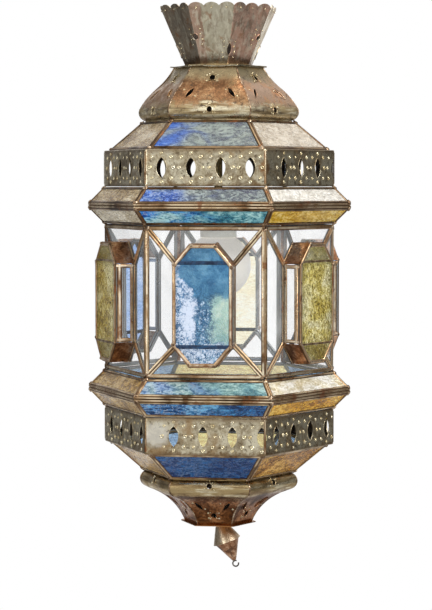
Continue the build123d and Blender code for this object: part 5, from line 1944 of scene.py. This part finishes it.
def grown_octagon(amount):
    """The opening's corners moved outwards by the same amount on every side."""
    points = [Vector(p) for p in opening()]
    moved = []
    for i, point in enumerate(points):
        before = (point - points[i - 1]).normalized()
        after = (points[(i + 1) % len(points)] - point).normalized()
        first, second = Vector((-before.y, before.x)), Vector((-after.y, after.x))
        moved.append(point + (first + second) * (amount / (1 + first.dot(second))))
    return moved


def window_bars(k, hand):
    """Strips round the open window of one long side."""
    u = hand * (OPENING_HALF_W + JEWEL_SEAT)
    side = face_axes(k)[0] * hand
    bars = []
    for end in (-1, 1):
        v = end * (OPENING_SIDE - WINDOW_BORDER / 2) + OPENING_SHIFT
        ends = on_face(k, u, v, BACK_RIM_T / 2), on_face(k, u, v, JEWEL_DEPTH - WALL_INSET)
        bars.append(bar(*ends, side, *WINDOW_STRIP, 0.0))
    back = BACK_RIM_T + WINDOW_BORDER / 2 - WALL_INSET
    front = JEWEL_DEPTH - CHANNEL_T - FRONT_STRIP_W / 2 + FRONT_LAP
    for depth, size in ((back, WINDOW_STRIP), (front, FRONT_STRIP)):
        ends = [on_face(k, u, end * OPENING_SIDE + OPENING_SHIFT, depth) for end in (-1, 1)]
        bars.append(bar(*ends, side, *size, 0.0))
    return bars


BOX_CORNERS = grown_octagon(JEWEL_SEAT)


def box_bars(k):
    """Front rim, back rim and window strips, in this order."""
    out = face_axes(k)[1]
    front = [on_face(k, u, v, JEWEL_DEPTH) for u, v in BOX_CORNERS]
    back = [on_face(k, u, v, BACK_RIM_T) for u, v in BOX_CORNERS]
    bars = ring_bars(front, [RIM_W] * len(front), CHANNEL_T, out)
    bars += ring_bars(back, [BACK_RIM_W] * len(back), BACK_RIM_T, out)
    return bars + window_bars(k, -1) + window_bars(k, 1)


def crease_bars(k, width):
    """The two lines where the three pieces of a jewel's glass meet."""
    reach = OPENING_HALF_W - CREASE_INSET
    depth = GLASS_FRONT + CREASE_LIFT
    creases = []
    for v in (OPENING_SHIFT + CREASE_RISE + CREASE, OPENING_SHIFT + CREASE_RISE - CREASE):
        ends = [on_face(k, hand * reach, v, depth) for hand in (-1, 1)]
        creases.append(bar(*ends, face_axes(k)[1], width, CREASE_T, 0.0))
    return creases


print("corners of a box:", len(BOX_CORNERS))

# %% Jewel boxes
WALL_T = 0.8 * MM
WALL_FOOT = 1.0 * MM
WALL_DENT = 0.7 * MM
WALL_DENT_SIZE = 11 * MM
WALL_ACROSS = 8
WALL_DEEP = 6
END_WALLS = (0, 1, 2, 4, 5, 6)
CREASE_W = 4.6 * MM
AMBER_CREASE_W = 2.4 * MM
CREASE_WANDER = 0.9 * MM
BOX_BLOB = 2.3 * MM
BOX_SEED = 30


def facet(k, first, second, seed):
    """One dented end wall between two corners of the box."""
    out = face_axes(k)[1]
    low, high = WALL_FOOT, JEWEL_DEPTH - WALL_INSET
    a, b = on_face(k, *first), on_face(k, *second)
    points = []
    for i in range(WALL_DEEP + 1):
        lift = out * (low + (high - low) * i / WALL_DEEP)
        points += [a.lerp(b, j / WALL_ACROSS) + lift for j in range(WALL_ACROSS + 1)]
    row = WALL_ACROSS + 1
    starts = [i * row + j for i in range(WALL_DEEP) for j in range(WALL_ACROSS)]
    mesh = bpy.data.meshes.new("facet")
    mesh.from_pydata(points, [], [(start, start + 1, start + row + 1, start + row) for start in starts])
    dented(mesh, WALL_DENT, WALL_DENT_SIZE, seed)
    return mesh


def joined(name, meshes):
    """One mesh from several, kept in order."""
    whole = bmesh.new()
    for mesh in meshes:
        whole.from_mesh(mesh)
    made = bpy.data.meshes.new(name)
    whole.to_mesh(made)
    whole.free()
    return made


def jewel_box(k, name):
    """Rims, creases, walls and solder of one box."""
    on_box = (face_frame(name)[0], "copper_sheet")
    bars = box_bars(k)
    bar_piece(name + "_jewel_rims", bars, RIM, *on_box, name + "_jewel_case")
    amber = JEWELS[name] is AMBER_JEWEL
    paint, width = (SOLDER, AMBER_CREASE_W) if amber else (INK, CREASE_W)
    bar_piece(name + "_jewel_creases", crease_bars(k, width), paint, *on_box, wander=CREASE_WANDER)
    walls = [facet(k, BOX_CORNERS[i], BOX_CORNERS[i + 1], k + i * 1.7) for i in END_WALLS]
    sheet_piece(name + "_jewel_walls", joined(name + "_walls_flat", walls), WALL_T, COPPER, *on_box)
    blobs = joint_blobs(bars[: len(BOX_CORNERS)], BOX_BLOB)
    dotted_piece(name + "_jewel_solder", blobs, BLOB_TREE, SOLDER, BOX_SEED + k, *on_box)


for k, name in enumerate(FACE_NAMES):
    jewel_box(k, name)
print("jewel boxes made:", len(FACE_NAMES))

# %% [markdown]
# ## Finial and door hinges
#
# The finial's skirt and cone are scraps of sheet rolled by hand, so their rings are pushed out of round
# before they are tilted to hang as the frame's do. The door's half of each hinge is a rolled knuckle on a
# small leaf.

# %% Finial
wire_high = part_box("finial_wire")[1]
FINIAL_LEAN = math.radians(20.8)
BEAD_DROP = 5.5 * MM
SKIRT_ROWS = ((1.4, 10), (5, 10.0), (8, 10.1), (10.5, 15), (13.2, 20.5), (16, 26), (18.4, 31))
CONE_ROWS = ((16.9, 29.4), (14.2, 34), (11.2, 39.5), (8.4, 45), (5.4, 51), (2.4, 56.5))
SCRAP_STEPS = 28
SCRAP_T = 0.7 * MM
SCRAP_FOLD = 50
SCRAP_DENT = {"dent": 0.25 * MM, "dent_size": 6 * MM}


def hung_sheet(name, rows, crumple, seed):
    """A rolled scrap of sheet on the finial's leaning axis; it is least round where it is widest."""
    bead = upward(wire_high.z - BEAD_DROP)
    lean = Matrix.Rotation(-FINIAL_LEAN, 4, "Y")
    widest = max(radius for radius, _ in rows)
    rings = []
    for radius, drop in rows:
        points = []
        for i in range(SCRAP_STEPS):
            out = heading(2 * math.pi * i / SCRAP_STEPS)
            dent = 0.5 + 0.5 * noise.noise(out * 1.6 + Vector((seed, 0, drop * 0.02)))
            push = 1 - crumple * (radius / widest) * dent
            points.append(bead + lean @ (out * (radius * MM * push) + upward(-drop * MM)))
        rings.append(points)
    return ring_sheet(name + "_flat", rings, seed=seed, **SCRAP_DENT)


skirt = hung_sheet("finial_skirt_sheet", SKIRT_ROWS, crumple=0.12, seed=2.0)
on_finial = ("finial", "antiqued_brass_sheet", "finial_skirt")
sheet_piece("finial_skirt_sheet", skirt, SCRAP_T, TIN, *on_finial, fold=SCRAP_FOLD)
cone = hung_sheet("finial_cone_sheet", CONE_ROWS, crumple=0.06, seed=8.0)
on_finial = ("finial", "copper_sheet", "finial_cone")
sheet_piece("finial_cone_sheet", cone, SCRAP_T, COPPER, *on_finial, fold=SCRAP_FOLD)
print("finial sheets made: 2")

# %% Door hinges
ON_DOOR = ("door", "bronzed_channel")
KNUCKLE_R = 2.4 * MM
KNUCKLE_L = 10 * MM
KNUCKLE_T = 1.35 * MM
KNUCKLE_STEPS = 16
HINGE_HALF = 55 * MM
HINGE_GAP = 0.2 * MM
LEAF_INSET = 2.8 * MM
LEAF_SIZE = (5 * MM, 0.8 * MM)


def knuckle(middle):
    """The rolled door half of one hinge, above the fixed half."""
    rings = []
    for v in (middle + KNUCKLE_L, middle):
        centre = on_face(DOOR_FACE, DOOR_HALF_W + HINGE_GAP, v, KNUCKLE_R + HINGE_GAP)
        turns = [2 * math.pi * i / KNUCKLE_STEPS for i in range(KNUCKLE_STEPS)]
        rings.append([centre + heading(turn) * KNUCKLE_R for turn in turns])
    return ring_sheet("knuckle", rings)


def hinge_leaf(middle):
    u = DOOR_HALF_W + HINGE_GAP - LEAF_INSET
    ends = [on_face(DOOR_FACE, u, v, LEAF_SIZE[1]) for v in (middle, middle + KNUCKLE_L)]
    return bar(*ends, face_axes(DOOR_FACE)[1], *LEAF_SIZE, 0.0)


hinges = (-HINGE_HALF, HINGE_HALF)
rolled = joined("knuckles_flat", [knuckle(middle) for middle in hinges])
sheet_piece("door_knuckles", rolled, KNUCKLE_T, FITTING, *ON_DOOR)
bar_piece("door_hinge_leaves", [hinge_leaf(middle) for middle in hinges], FITTING, *ON_DOOR, wander=0.0)
print("door hinges made:", len(hinges))

# %% [markdown]
# ## Nodes of the frame that stay
#
# Glass, bulb, lampholder, stem and latch are exact as they come from the frame, so they only get a
# finish. A part of each node's name tells which. Where two parts fit, the later one in the table counts.

# %% Finishes on the frame
KEPT = {
    "clear_panes": CLEAR,
    "side_panes": SIDE_CLEAR,
    "bell_plate": BELL,
    "crown_washer": FITTING,
    "finial_wire": STEEL,
    "hinge_pins": STEEL,
    "door_latch": FITTING,
    "door_posts": COPPER,
    "hanging_loop": FITTING,
    "stem": FITTING,
    "lamp_socket": PORCELAIN,
    "bulb_cap": FITTING,
    "bulb_globe": FROSTED,
}
for (storey, colour), paint in PANES.items():
    KEPT[storey + "_panes_" + colour] = paint
for name, paint in JEWELS.items():
    KEPT[name + "_jewel_glass"] = paint
for name, node in nodes.items():
    chosen = [paint for part, paint in KEPT.items() if part in name]
    if chosen:
        node.data.materials.clear()
        node.data.materials.append(chosen[-1])
print("finishes for the frame's own nodes:", len(KEPT))
